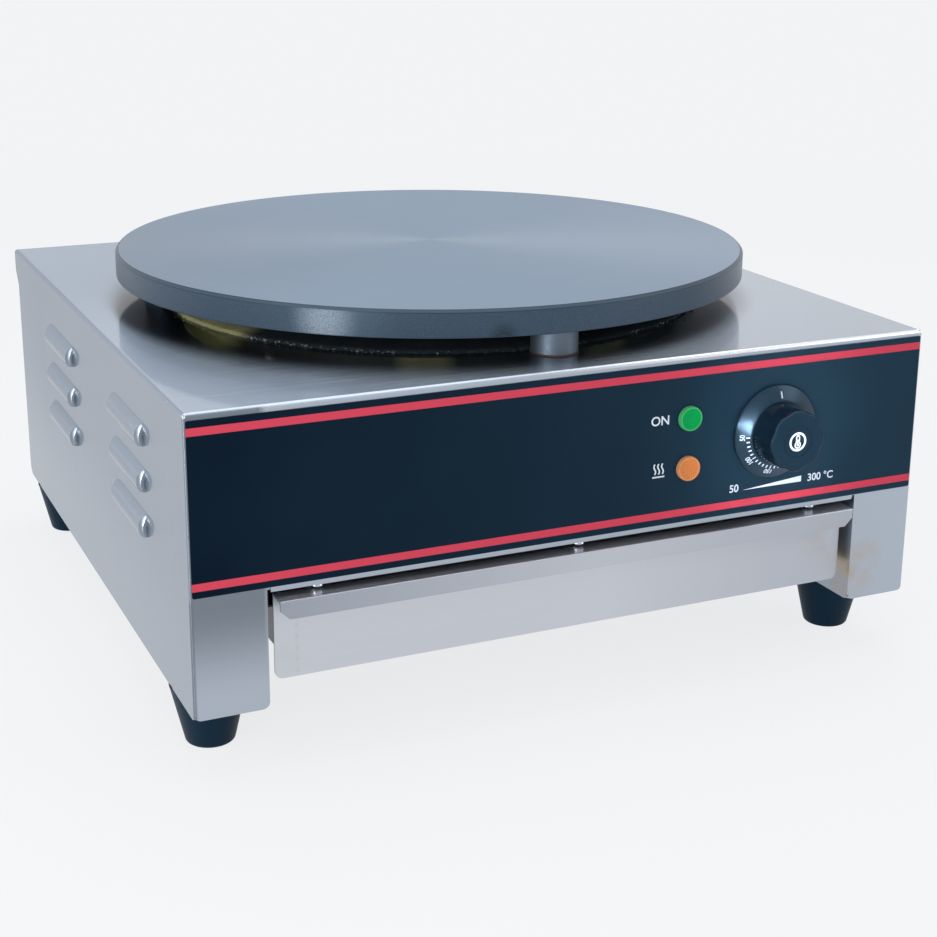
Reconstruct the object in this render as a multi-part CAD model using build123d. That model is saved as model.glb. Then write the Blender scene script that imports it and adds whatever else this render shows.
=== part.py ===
from build123d import *
import math
import os

# Electric crepe maker, in millimetres.
# +X is to the right, +Y to the back and +Z up. The origin is on the worktop, under the middle
# of the whole object. The knob stands out in front by as much as the cable gland does behind.

# ---------------------------------------------------------------- driving dimensions
# Folded stainless casing
casing_width = 450.0
casing_depth = 450.0
casing_height = 166.0
foot_height = 35.0
sheet = 1.0
top_bend_radius = 2.5
corner_radius = 1.2
rear_overhang = 8.0
rear_lip_height = 15.0
rear_ear_slope = 10.0
rear_corner_radius = 8.0
corner_gap = 1.0
edge_flange_width = 15.0
# Notch in the front for the drawer
leg_width = 41.0
notch_height = 65.4
front_fold_depth = 12.0
leg_return_depth = 40.0
leg_corner_radius = 4.0
relief_width = 2.0
relief_height = 2.4
# Louvres pressed out of both sides
louvre_length = 72.0
louvre_radius = 9.3
louvre_end_radius = 3.6
louvre_projection = 4.5
louvre_drop = 4.8
louvre_pitch = 26.1
louvre_rows = 3
louvre_top_drop = 35.9
louvre_column_inset = 118.5
louvre_column_pitch = 178.0
# Screws along the fold above the drawer, and through the back
fold_screw_inset = 29.0
fold_washer_rim = 0.6
fold_washer_thickness = 0.6
fold_screw_head_height = 2.2
back_screw_low = 30.0
back_screw_high = 16.0
back_floor_screw_inset = 83.0
# Feet
foot_top_radius = 21.5
foot_bottom_radius = 13.5
foot_edge_radius = 2.0
foot_side_inset = 21.0
foot_front_inset = 47.0
foot_rear_inset = 38.5
foot_pad_length = 78.0
foot_bore_radius = 6.6
foot_bore_depth = 20.0
foot_screw_radius = 3.0
foot_screw_head_radius = 5.2
foot_screw_head_height = 4.0
foot_nut_radius = 5.8
foot_nut_height = 5.0
# Fascia film
film_thickness = 0.5
film_height = 94.0
film_side_margin = 1.5
film_bottom_margin = 2.9
film_corner_radius = 1.0
# Griddle plate and its three legs
plate_radius = 200.0
plate_thickness = 16.0
plate_chamfer = 1.6
plate_setback = -8.0
recess_step = 2.0
plate_recess_depth = 4.0
support_height = 16.0
support_radius = 13.5
support_inset = 23.0
support_washer_thickness = 0.8
support_washer_rim = 0.5
plate_bolt_radius = 4.0
plate_bolt_head_radius = 6.5
plate_bolt_head_height = 5.3
plate_bolt_engagement = 10.0
plate_bolt_end_gap = 1.0
# Heater under the plate
insulation_pad_inset = 5.0
insulation_pad_thickness = 2.5
pad_support_gap = 2.0
disc_edge_gap = 0.5
pan_support_gap = 3.5
pan_rim_width = 10.0
pan_depth = 10.0
pan_sheet = 1.0
pan_screw_radius = 2.0
pan_screw_count = 3
insulation_disc_thickness = 4.5
element_radius = 3.5
element_bend_radius = 10.0
element_edge_gap = 8.0
element_hairpin_radius = 15.0
element_ring_gap = 35.0
element_end_gap = 21.8
element_tail = 37.0
element_pin_radius = 1.6
element_pin_length = 8.0
tail_clearance = 1.0
bend_clearance = 3.0
bulb_radius = 3.0
bulb_length = 55.0
capillary_radius = 1.0
capillary_offset = 14.0
capillary_drop = 24.0
element_gap = 0.2
clip_half = 10.5
clip_width = 10.0
clip_sheet = 1.0
clip_screw_radius = 1.5
clip_screw_gap = 3.5
clip_post_radius = 3.0
clip_head_radius = 2.8
clip_head_height = 1.3
clip_screw_engagement = 5.0
# Floor of the electrical bay
floor_edge_height = 12.0
floor_edge_clearance = 0.1
floor_tab_gap = 2.0
# Back panel
back_panel_bottom = 9.0
back_screw_radius = 1.9
# Drawer
drawer_side_gap = 5.0
drawer_front_height = 48.7
drawer_front_setback = 6.0
drawer_top_gap = 3.8
drawer_corner_radius = 4.5
lip_depth = 12.0
lip_height = 10.5
lip_chamfer = 5.0
lip_fold_radius = 0.9
tray_side_inset = 12.0
tray_length = 417.0
tray_bottom_gap = 2.0
tray_flange_width = 9.0
tray_flange_setback = 10.0
runner_width = 11.0
runner_drop = 15.4
runner_clearance = 3.0
runner_end_gap = 2.0
runner_stop_overlap = 4.8
slide_gap = 0.3
drawer_travel = 320.0
stop_height = 8.0
# Control knob and thermostat
knob_inset = 102.4
knob_drop = 50.0
skirt_radius = 27.5
skirt_gap = 1.5
skirt_edge = 2.0
skirt_rise = 2.5
skirt_seat_radius = 20.0
grip_base_radius = 19.5
grip_face_radius = 18.0
grip_flute_count = 8
grip_flute_radius = 9.0
grip_flute_depth = 1.3
grip_flute_rise = 2.0
knob_projection = 25.0
knob_cap_radius = 9.0
knob_cap_thickness = 2.0
shaft_radius = 3.0
shaft_flat = 1.0
thermostat_size = 40.0
thermostat_depth = 32.0
thermostat_plate = 1.5
thermostat_screw_spacing = 28.0
thermostat_screw_head_radius = 3.3
thermostat_screw_head_height = 0.9
thermostat_screw_length = 8.0
thermostat_rim = 2.0
shaft_seat = 16.0
shaft_fit = 0.05
shaft_hole_gap = 2.0
grip_hub_radius = 7.5
grip_edge_radius = 1.2
grip_floor = 2.0
# Indicator lamps
lamp_inset = 159.6
lamp_top_drop = 35.9
lamp_pitch = 29.5
lamp_lens_radius = 7.2
lamp_lens_height = 3.0
lamp_barrel_radius = 6.0
lamp_barrel_length = 26.0
lamp_blade_offset = 2.5
lamp_blade_length = 7.0
lamp_blade_width = 3.0
lamp_blade_thickness = 0.8
lamp_clip_radius = 9.0
lamp_clip_thickness = 3.0
# Terminal block, earth stud and cable gland
terminal_width = 48.0
terminal_depth = 20.0
terminal_height = 20.0
terminal_screw_inset = 5.0
terminal_port_inset = 10.0
terminal_port_radius = 2.4
terminal_port_depth = 7.0
terminal_inset = 105.0
terminal_setback = 67.0
earth_stud_offset = 60.0
earth_stud_setback = 47.0
earth_stud_radius = 2.5
earth_stud_height = 18.0
earth_head_radius = 4.3
earth_head_height = 2.0
earth_nut_radius = 4.8
earth_nut_height = 4.0
gland_inset = 75.0
gland_height = 110.0
gland_thread_radius = 10.0
gland_cable_radius = 5.0
gland_seal_length = 12.0
gland_hex_radius = 13.5
gland_flange_thickness = 5.0
gland_locknut_thickness = 5.0
gland_thread_length = 14.0
gland_thread_spare = 4.0
gland_wall = 2.8
dome_seat_gap = 0.5
dome_hex_length = 12.0
dome_radius = 11.9
dome_nose = 5.0
dome_nose_radius = 8.0
dome_mouth_radius = 6.5
wire_radius = 1.3
# Small fasteners
screw_head_radius = 3.7
screw_head_height = 2.4
screw_shank_radius = 1.9
small_screw_length = 6.0
fit_gap = 0.1
# How far a cutting shape runs past the face that it cuts
cut = 1.0

# ---------------------------------------------------------------- places worked out from them
side_x = casing_width / 2
front_y = -casing_depth / 2
back_y = casing_depth / 2
base_z = foot_height
top_z = base_z + casing_height
side_back_y = back_y - rear_overhang
ear_z = top_z - rear_lip_height - rear_ear_slope
fold_z = base_z + notch_height
notch_x = side_x - leg_width
fold_screw_y = front_y + front_fold_depth / 2
film_front_y = front_y - film_thickness
film_bottom_z = fold_z + film_bottom_margin

plate_y = plate_setback
support_circle_radius = plate_radius - support_inset
insulation_pad_radius = support_circle_radius - insulation_pad_inset
pan_radius = support_circle_radius - support_radius - pan_support_gap
pan_wall_radius = pan_radius - pan_rim_width
plate_recess_radius = pan_wall_radius - recess_step
outer_element_circle = plate_recess_radius - element_edge_gap
inner_element_circle = outer_element_circle - 2 * element_hairpin_radius - element_ring_gap
plate_bottom_z = top_z + support_height
plate_top_z = plate_bottom_z + plate_thickness
recess_z = plate_bottom_z + plate_recess_depth
element_z = recess_z - element_radius - element_gap
tail_bottom_z = element_z - element_tail
pin_bottom_z = tail_bottom_z - element_pin_length
bulb_z = recess_z - bulb_radius - fit_gap
bulb_y = plate_y + (inner_element_circle + outer_element_circle) / 2 - element_hairpin_radius
clip_screw_y = bulb_y + bulb_radius + clip_screw_gap
support_angles = (-90.0, 30.0, 150.0)
support_places = [
    (support_circle_radius * math.cos(math.radians(a)),
     plate_y + support_circle_radius * math.sin(math.radians(a)))
    for a in support_angles
]

foot_x = side_x - foot_side_inset
foot_places = {
    "front_left": (-foot_x, front_y + foot_front_inset),
    "front_right": (foot_x, front_y + foot_front_inset),
    "rear_left": (-foot_x, back_y - foot_rear_inset),
    "rear_right": (foot_x, back_y - foot_rear_inset),
}

floor_z = fold_z + sheet
floor_top_z = floor_z + sheet

drawer_front_x = notch_x - drawer_side_gap
drawer_face_y = front_y + drawer_front_setback
drawer_back_y = drawer_face_y + sheet
drawer_top_z = fold_z - drawer_top_gap
drawer_bottom_z = drawer_top_z - drawer_front_height
tray_x = drawer_front_x - tray_side_inset
tray_bottom_z = drawer_bottom_z + tray_bottom_gap
tray_back_y = drawer_back_y + tray_length
runner_web_x = tray_x + tray_flange_width + runner_clearance
runner_ledge_z = floor_z - runner_drop
tray_flange_z = runner_ledge_z + sheet + slide_gap

knob_x = side_x - knob_inset
knob_z = top_z - knob_drop
lamp_x = side_x - lamp_inset
lamp_heights = {
    "power": top_z - lamp_top_drop,
    "heat": top_z - lamp_top_drop - lamp_pitch,
}
skirt_back_y = film_front_y - skirt_gap
skirt_seat_y = skirt_back_y - skirt_edge - skirt_rise
knob_face_y = front_y - knob_projection
shaft_end_y = knob_face_y + knob_cap_thickness + grip_floor
thermostat_front_y = front_y + sheet
thermostat_back_y = thermostat_front_y + thermostat_plate + thermostat_depth
gland_x = -side_x + gland_inset
gland_z = base_z + gland_height
gland_end_y = back_y + knob_projection
panel_back_y = side_back_y + sheet
gland_seat_y = panel_back_y + gland_flange_thickness
gland_body_end_y = gland_seat_y + gland_thread_length
gland_seal_y = gland_body_end_y + 2 * fit_gap
gland_bore_radius = gland_thread_radius - gland_wall
terminal_x = -side_x + terminal_inset
terminal_y = side_back_y - terminal_setback
terminal_front_y = terminal_y - terminal_depth / 2
earth_stud_x = terminal_x + earth_stud_offset
earth_stud_y = side_back_y - earth_stud_setback
port_z = floor_top_z + terminal_height / 2

parts = {}


# ---------------------------------------------------------------- helpers
def block(x0, x1, y0, y1, z0, z1):
    centre = ((x0 + x1) / 2, (y0 + y1) / 2, (z0 + z1) / 2)
    return Pos(*centre) * Box(x1 - x0, y1 - y0, z1 - z0)


def rod(x, y, z0, z1, radius):
    return Pos(x, y, (z0 + z1) / 2) * Cylinder(radius, z1 - z0)


def rod_y(x, z, y0, y1, radius):
    return Pos(x, (y0 + y1) / 2, z) * Rot(90, 0, 0) * Cylinder(radius, y1 - y0)


def rod_x(y, z, x0, x1, radius):
    return Pos((x0 + x1) / 2, y, z) * Rot(0, 90, 0) * Cylinder(radius, x1 - x0)


def hexagon(radius, height):
    return extrude(RegularPolygon(radius, 6), height)


def hex_y(x, z, y0, y1, radius):
    return Pos(x, y0, z) * Rot(-90, 0, 0) * hexagon(radius, y1 - y0)


def turned(profile_points, x=0.0, y=0.0):
    """A solid of revolution about a vertical axis, from (radius, z) points."""
    outline = [(r, 0.0, z) for r, z in profile_points]
    face = make_face(Polyline(*outline, close=True))
    return Pos(x, y, 0) * revolve(face, Axis.Z)


def turned_y(profile_points, x, z):
    """A solid of revolution about an axis along Y, from (radius, y) points."""
    outline = [(r, y, 0.0) for r, y in profile_points]
    face = make_face(Polyline(*outline, close=True))
    return Pos(x, 0, z) * revolve(face, Axis.Y)


def pan_screw(shank_radius, shank_length, head_radius, head_height):
    """A cross-recessed screw along +Z: the head's seat is at zero and the shank points up."""
    head = Pos(0, 0, -head_height / 2) * Cylinder(head_radius, head_height)
    head = fillet(head.faces().sort_by(Axis.Z)[0].edges(), head_height * 0.4)
    shank = Pos(0, 0, shank_length / 2) * Cylinder(shank_radius, shank_length)
    cross = Box(head_radius * 1.2, head_radius * 0.25, head_height)
    cross += Box(head_radius * 0.25, head_radius * 1.2, head_height)
    return head + shank - Pos(0, 0, -head_height) * cross


def both_sides(shape):
    return [shape, mirror(shape, Plane.YZ)]


def group(shapes):
    return Compound(children=[s.solid() for s in shapes])


def bend_radii(points):
    """The largest tangent arc that each corner of a route has room for."""
    radii = []
    for before, corner, after in zip(points, points[1:], points[2:]):
        run_in = Vector(*corner) - Vector(*before)
        run_out = Vector(*after) - Vector(*corner)
        half_turn = math.radians(run_in.get_angle(run_out)) / 2
        radii.append(0.45 * min(run_in.length, run_out.length) / math.tan(half_turn))
    return radii


def tube(points, radius):
    path = FilletPolyline(*points, radius=bend_radii(points))
    section = Plane(origin=path @ 0, z_dir=path % 0) * Circle(radius)
    return sweep(section, path=path)


# ---------------------------------------------------------------- casing
def louvre_places():
    column_y = front_y + louvre_column_inset
    for column in range(2):
        for row in range(louvre_rows):
            yield column_y + column * louvre_column_pitch, top_z - louvre_top_drop - row * louvre_pitch


def louvre_bulge(y, z, inset):
    """A bar with rounded ends lying along the side, half sunk in it and cut flat underneath."""
    axis_x = side_x + louvre_projection - louvre_radius
    half = louvre_length / 2 - inset
    radius = louvre_radius - inset
    bar = rod_y(axis_x, z, y - half, y + half, radius)
    bar = fillet(bar.edges().filter_by(GeomType.CIRCLE), louvre_end_radius - inset)
    lower = block(axis_x - 2 * radius, axis_x + 2 * radius, y - louvre_length, y + louvre_length,
                  z - 2 * louvre_radius, z - louvre_drop)
    return bar - lower


def leg_corner_nick(x, inward):
    """What comes off a leg's lower front corner: one rounding for each sheet that meets there."""
    radius = leg_corner_radius
    middle_x = x + inward * radius
    middle_y = front_y + radius
    middle_z = base_z + radius
    face = block(*sorted((x - inward * cut, middle_x)), front_y - cut, front_y + sheet,
                 base_z - cut, middle_z)
    face -= rod_y(middle_x, middle_z, front_y - 2 * cut, front_y + 2 * sheet, radius)
    wall = block(*sorted((x - inward * cut, x + inward * sheet)), front_y - cut, middle_y,
                 base_z - cut, middle_z)
    wall -= rod_x(middle_y, middle_z, x - 2 * sheet, x + 2 * sheet, radius)
    pad = block(*sorted((x + inward * sheet, middle_x)), front_y + sheet, middle_y,
                base_z - cut, base_z + sheet + cut)
    pad -= rod(middle_x, middle_y, base_z - 2 * cut, base_z + 2 * sheet, radius - sheet)
    return face + wall + pad


def make_outer_casing():
    outer = block(-side_x, side_x, front_y, back_y, base_z, top_z)
    inner = block(-side_x + sheet, side_x - sheet, front_y + sheet, back_y - sheet,
                  base_z - cut, top_z - sheet)
    outer = fillet(outer.faces().sort_by(Axis.Z)[-1].edges(), top_bend_radius)
    front_corners = outer.edges().filter_by(Axis.Z).group_by(Axis.Y)[0]
    outer = fillet(front_corners, corner_radius)
    inner_top = inner.faces().sort_by(Axis.Z)[-1].edges()
    inner = fillet(inner_top, top_bend_radius - sheet)
    shell = outer - inner

    # The back is open below the rear lip, whose ends slope down to the sides.
    rear_outline = Polyline(
        (0, side_back_y, base_z - cut), (0, side_back_y, ear_z),
        (0, back_y, ear_z + rear_ear_slope), (0, back_y + cut, ear_z + rear_ear_slope),
        (0, back_y + cut, base_z - cut), close=True)
    shell -= extrude(make_face(rear_outline), side_x + cut, dir=(1, 0, 0), both=True)

    corner_y = side_back_y - rear_corner_radius
    corner_z = base_z + rear_corner_radius

    # Drawer notch with its corner reliefs, the fold above it and the inner faces of the legs.
    shell -= block(-notch_x, notch_x, front_y - cut, front_y + 2 * sheet, base_z - cut, fold_z)
    shell += block(-notch_x + relief_width, notch_x - relief_width, front_y,
                   front_y + front_fold_depth, fold_z, fold_z + sheet)
    relief = block(notch_x - relief_width, notch_x, front_y - cut, front_y + 2 * sheet,
                   fold_z - cut, fold_z + relief_height)
    leg_return = block(notch_x, notch_x + sheet, front_y, front_y + leg_return_depth,
                       base_z, fold_z)
    bottom_flange = block(side_x - edge_flange_width, side_x - sheet / 2, front_y + sheet / 2,
                          corner_y - corner_gap, base_z, base_z + sheet)
    front_pad = block(notch_x, side_x - sheet / 2, front_y + sheet / 2,
                      front_y + foot_pad_length, base_z, base_z + sheet)
    rear_pad = block(notch_x, side_x - sheet / 2, side_back_y - foot_pad_length,
                     corner_y - corner_gap, base_z, base_z + sheet)
    rear_flange = block(side_x - edge_flange_width, side_x - sheet / 2, side_back_y - sheet,
                        side_back_y, corner_z + corner_gap, ear_z)
    for piece in (leg_return, bottom_flange, front_pad, rear_pad, rear_flange):
        for side in both_sides(piece):
            shell += side
    for side in both_sides(relief):
        shell -= side

    # Rounded lower corners of the two front legs.
    for x, inward in ((notch_x, 1), (side_x, -1)):
        for side in both_sides(leg_corner_nick(x, inward)):
            shell -= side

    # Rounded lower rear corners.
    shell -= (block(-side_x - cut, side_x + cut, corner_y, side_back_y + cut, base_z - cut,
                    corner_z)
              - rod_x(corner_y, corner_z, -side_x - 2 * cut, side_x + 2 * cut,
                      rear_corner_radius))

    # Louvres
    outside = block(side_x - sheet, side_x + 2 * louvre_projection, front_y, back_y, base_z, top_z)
    hoods = []
    slots = []
    for y, z in louvre_places():
        hoods.append(louvre_bulge(y, z, 0) & outside)
        slots.append(louvre_bulge(y, z, sheet))
    for hood in hoods:
        for side in both_sides(hood):
            shell += side
    for slot in slots:
        for side in both_sides(slot):
            shell -= side

    # Holes
    for x, y in support_places:
        shell -= rod(x, y, top_z - 2 * sheet, top_z + cut, plate_bolt_radius + fit_gap)
    shell = heater_holes(shell, top_z - 2 * sheet, top_z + cut, 2 * tail_clearance)
    for x, y in foot_places.values():
        shell -= rod(x, y, base_z - cut, base_z + 2 * sheet, foot_screw_radius + fit_gap)
    for x, radius, z in front_holes():
        shell -= rod_y(x, z, front_y - cut, front_y + 2 * sheet, radius)
    for x, z in side_back_screws():
        shell -= rod_y(x, z, side_back_y - 2 * sheet, side_back_y + cut,
                       back_screw_radius + fit_gap)
    for x in front_fold_screws():
        shell -= rod(x, fold_screw_y, fold_z - cut, fold_z + 2 * sheet,
                     screw_shank_radius + fit_gap)
    return shell


def front_holes():
    """The holes through the front sheet and the film: (x, radius, z)."""
    holes = [(lamp_x, lamp_barrel_radius + fit_gap, z) for z in lamp_heights.values()]
    holes.append((knob_x, shaft_radius + shaft_hole_gap, knob_z))
    for z in thermostat_screw_heights():
        holes.append((knob_x, screw_shank_radius + fit_gap, z))
    return holes


def front_fold_screws():
    spread = notch_x - fold_screw_inset
    return (-spread, 0.0, spread)


def side_back_screws():
    x = side_x - sheet - (edge_flange_width - sheet) / 2
    heights = (base_z + back_screw_low, ear_z - back_screw_high)
    return [(sx * x, z) for sx in (-1, 1) for z in heights]


def floor_back_screws():
    x = notch_x - back_floor_screw_inset
    z = floor_top_z + (floor_edge_height - sheet) / 2
    return [(-x, z), (x, z)]


def make_film():
    outline = RectangleRounded(casing_width - 2 * film_side_margin, film_height,
                               film_corner_radius)
    sheet_face = Plane(origin=(0, front_y, film_bottom_z + film_height / 2),
                       x_dir=(1, 0, 0), z_dir=(0, -1, 0)) * outline
    film = extrude(sheet_face, film_thickness)
    for x, radius, z in front_holes():
        film -= rod_y(x, z, film_front_y - cut, front_y + cut, radius)
    return film


def make_back_panel():
    half = side_x - film_side_margin
    panel = block(-half, half, side_back_y, panel_back_y, base_z + back_panel_bottom,
                  top_z - sheet - top_bend_radius)
    panel -= rod_y(gland_x, gland_z, side_back_y - cut, panel_back_y + cut,
                   gland_thread_radius + fit_gap)
    for x, z in side_back_screws() + floor_back_screws():
        panel -= rod_y(x, z, side_back_y - cut, panel_back_y + cut,
                       back_screw_radius + fit_gap)
    return panel


def make_floor():
    half = side_x - sheet - floor_edge_clearance
    front = front_y + sheet + floor_edge_clearance
    rear = side_back_y - sheet - floor_edge_clearance
    rear_half = side_x - edge_flange_width - floor_tab_gap
    floor = block(-half, half, front, rear, floor_z, floor_top_z)
    for side in both_sides(block(half - sheet, half, front + corner_radius, rear, floor_z,
                                 floor_z + floor_edge_height)):
        floor += side
    floor += block(-rear_half, rear_half, rear - sheet, side_back_y, floor_z, floor_top_z)
    floor += block(-rear_half, rear_half, side_back_y - sheet, side_back_y, floor_z,
                   floor_z + floor_edge_height)
    for x, z in floor_back_screws():
        floor -= rod_y(x, z, side_back_y - 2 * sheet, side_back_y + cut,
                       back_screw_radius + fit_gap)
    for x in front_fold_screws():
        floor -= rod(x, fold_screw_y, floor_z - cut, floor_top_z + cut,
                     screw_shank_radius + fit_gap)
    for x in terminal_screw_places():
        floor -= rod(x, terminal_y, floor_z - cut, floor_top_z + cut,
                     screw_shank_radius + fit_gap)
    return floor - rod(earth_stud_x, earth_stud_y, floor_z - cut, floor_top_z + cut,
                       earth_stud_radius)


def make_front_fold_screws():
    screw = pan_screw(screw_shank_radius, small_screw_length, screw_head_radius,
                      fold_screw_head_height)
    washer = rod(0, 0, -fold_washer_thickness, 0, screw_head_radius + fold_washer_rim)
    washer -= rod(0, 0, -fold_washer_thickness - cut, cut, screw_shank_radius)
    one = Pos(0, 0, -fold_washer_thickness) * screw + washer
    return group([Pos(x, fold_screw_y, fold_z) * one for x in front_fold_screws()])


def make_back_screws():
    screw = pan_screw(back_screw_radius, small_screw_length, screw_head_radius,
                      screw_head_height)
    places = side_back_screws() + floor_back_screws()
    return group([Pos(x, panel_back_y, z) * Rot(90, 0, 0) * screw for x, z in places])


# ---------------------------------------------------------------- feet
def make_foot(x, y):
    foot = turned([(0, 0), (foot_bottom_radius, 0), (foot_top_radius, foot_height),
                   (0, foot_height)])
    foot = fillet(foot.edges().group_by(Axis.Z)[0], foot_edge_radius)
    foot -= rod(0, 0, -cut, foot_bore_depth, foot_bore_radius)
    foot -= rod(0, 0, 0, foot_height + cut, foot_screw_radius)
    return Pos(x, y, 0) * foot


def make_foot_screws():
    shank = foot_height - foot_bore_depth + sheet + foot_nut_height + 2
    screw = pan_screw(foot_screw_radius, shank, foot_screw_head_radius, foot_screw_head_height)
    return group([Pos(x, y, foot_bore_depth) * screw for x, y in foot_places.values()])


def make_foot_nuts():
    nut = hexagon(foot_nut_radius, foot_nut_height)
    nut -= rod(0, 0, -cut, foot_nut_height + cut, foot_screw_radius)
    return group([Pos(x, y, base_z + sheet) * nut for x, y in foot_places.values()])


# ---------------------------------------------------------------- plate and heater
def make_plate():
    plate = turned([(0, plate_bottom_z), (plate_radius, plate_bottom_z),
                    (plate_radius, plate_top_z - plate_chamfer),
                    (plate_radius - plate_chamfer, plate_top_z), (0, plate_top_z)], y=plate_y)
    plate -= rod(0, plate_y, plate_bottom_z - cut, recess_z, plate_recess_radius)
    for x, y in support_places:
        plate -= rod(x, y, plate_bottom_z - cut, plate_bottom_z + plate_bolt_engagement,
                     plate_bolt_radius)
    for x, y in pan_screw_places():
        plate -= rod(x, y, plate_bottom_z - cut, plate_bottom_z + small_screw_length,
                     pan_screw_radius)
    plate -= rod(0, clip_screw_y, recess_z - cut, recess_z + clip_screw_engagement,
                 clip_screw_radius)
    return plate


def make_support(x, y):
    foot_z = top_z + support_washer_thickness
    leg = rod(x, y, foot_z, plate_bottom_z, support_radius)
    return leg - rod(x, y, foot_z - cut, plate_bottom_z + cut, plate_bolt_radius)


def make_support_washers():
    washers = []
    for x, y in support_places:
        washer = rod(x, y, top_z, top_z + support_washer_thickness,
                     support_radius + support_washer_rim)
        washers.append(washer - rod(x, y, top_z - cut, top_z + 2 * cut, plate_bolt_radius))
    return group(washers)


def make_plate_bolts():
    seat_z = top_z - sheet
    reach = plate_bottom_z + plate_bolt_engagement - plate_bolt_end_gap
    bolts = []
    for x, y in support_places:
        head = Pos(x, y, seat_z - plate_bolt_head_height) * hexagon(
            plate_bolt_head_radius, plate_bolt_head_height)
        bolts.append(head + rod(x, y, seat_z, reach, plate_bolt_radius))
    return group(bolts)


def element_gap_angle(circle):
    """Half of the angle left open between a ring's ends."""
    return math.degrees(math.asin(element_end_gap / (circle - element_hairpin_radius)))


def element_ends(circle):
    """Where the two tails of one element go down, and the angle of its ring's ends."""
    angle = math.radians(90 + element_gap_angle(circle))
    back = (math.sin(angle), -math.cos(angle))
    ends = []
    for radius in (circle, circle - 2 * element_hairpin_radius):
        x = radius * math.cos(angle) + back[0] * element_bend_radius
        y = plate_y + radius * math.sin(angle) + back[1] * element_bend_radius
        ends.append((x, y))
    return ends


def element_tails():
    return element_ends(outer_element_circle) + element_ends(inner_element_circle)


def make_element(circle):
    gap = element_gap_angle(circle)
    inner = circle - 2 * element_hairpin_radius
    start = 90 + gap
    sweep_angle = 360 - 2 * gap
    centre = (0, plate_y, element_z)
    hairpin_angle = math.radians(90 - gap)
    hairpin_circle = circle - element_hairpin_radius
    hairpin_centre = (hairpin_circle * math.cos(hairpin_angle),
                      plate_y + hairpin_circle * math.sin(hairpin_angle), element_z)
    ring_out = CenterArc(centre, circle, start, sweep_angle)
    hairpin = CenterArc(hairpin_centre, element_hairpin_radius, 90 - gap, 180)
    ring_back = CenterArc(centre, inner, 90 - gap, -sweep_angle)
    (x0, y0), (x1, y1) = element_ends(circle)
    bend_z = element_z - element_bend_radius
    tail_in = Line((x0, y0, tail_bottom_z), (x0, y0, bend_z))
    bend_in = TangentArc((x0, y0, bend_z), ring_out @ 0, tangent=(0, 0, 1))
    bend_out = TangentArc(ring_back @ 1, (x1, y1, bend_z), tangent=ring_back % 1)
    tail_out = Line((x1, y1, bend_z), (x1, y1, tail_bottom_z))
    path = Wire([tail_in, bend_in, ring_out, hairpin, ring_back, bend_out, tail_out])
    section = Plane(origin=(x0, y0, tail_bottom_z), z_dir=(0, 0, 1)) * Circle(element_radius)
    element = sweep(section, path=path)
    for x, y in ((x0, y0), (x1, y1)):
        element += rod(x, y, pin_bottom_z, tail_bottom_z, element_pin_radius)
    return element


def capillary_place():
    """Where the capillary tube goes down through the heater pan and the casing."""
    return (bulb_length / 2 + capillary_offset, bulb_y)


def heater_holes(shape, z0, z1, clearance):
    for x, y in element_tails():
        shape -= rod(x, y, z0, z1, element_radius + clearance)
    x, y = capillary_place()
    return shape - rod(x, y, z0, z1, capillary_radius + clearance)


def make_insulation_pad():
    z0 = top_z
    z1 = top_z + insulation_pad_thickness
    pad = rod(0, plate_y, z0, z1, insulation_pad_radius)
    for x, y in support_places:
        pad -= rod(x, y, z0 - cut, z1 + cut, support_radius + pad_support_gap)
    return heater_holes(pad, z0 - cut, z1 + cut, tail_clearance)


def pan_screw_places():
    circle = (pan_radius + pan_wall_radius) / 2
    places = []
    for k in range(pan_screw_count):
        angle = math.radians(support_angles[0] + (k + 0.5) * 360 / pan_screw_count)
        places.append((circle * math.cos(angle), plate_y + circle * math.sin(angle)))
    return places


def make_heater_pan():
    z1 = plate_bottom_z
    z0 = z1 - pan_depth
    pan = rod(0, plate_y, z0, z1, pan_wall_radius)
    pan += rod(0, plate_y, z1 - pan_sheet, z1, pan_radius)
    pan -= rod(0, plate_y, z0 + pan_sheet, z1 + cut, pan_wall_radius - pan_sheet)
    for x, y in pan_screw_places():
        pan -= rod(x, y, z0, z1 + 1, pan_screw_radius + fit_gap)
    return heater_holes(pan, z0 - cut, z1 + cut, tail_clearance)


def make_pan_screws():
    screw = pan_screw(pan_screw_radius, small_screw_length, screw_head_radius, screw_head_height)
    seat_z = plate_bottom_z - pan_sheet
    return group([Pos(x, y, seat_z) * screw for x, y in pan_screw_places()])


def make_insulation_disc():
    z0 = plate_bottom_z - pan_depth + pan_sheet
    z1 = z0 + insulation_disc_thickness
    disc = rod(0, plate_y, z0, z1, pan_wall_radius - pan_sheet - disc_edge_gap)
    return heater_holes(disc, z0 - cut, z1 + cut, bend_clearance)


def make_bulb():
    half = bulb_length / 2
    return rod_x(bulb_y, bulb_z, -half, half, bulb_radius)


def make_bulb_clip():
    z0 = bulb_z - bulb_radius - clip_sheet - fit_gap
    strap = block(-clip_width / 2, clip_width / 2, bulb_y - clip_half, bulb_y + clip_half,
                  z0, z0 + clip_sheet)
    strap += rod(0, clip_screw_y, z0 + clip_sheet, recess_z, clip_post_radius)
    return strap - rod(0, clip_screw_y, z0 - cut, recess_z + cut, clip_screw_radius)


def make_clip_screw():
    z0 = bulb_z - bulb_radius - clip_sheet - fit_gap
    head = rod(0, clip_screw_y, z0 - clip_head_height, z0, clip_head_radius)
    return head + rod(0, clip_screw_y, z0 - clip_head_height / 2,
                      recess_z + clip_screw_engagement, clip_screw_radius)


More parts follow.
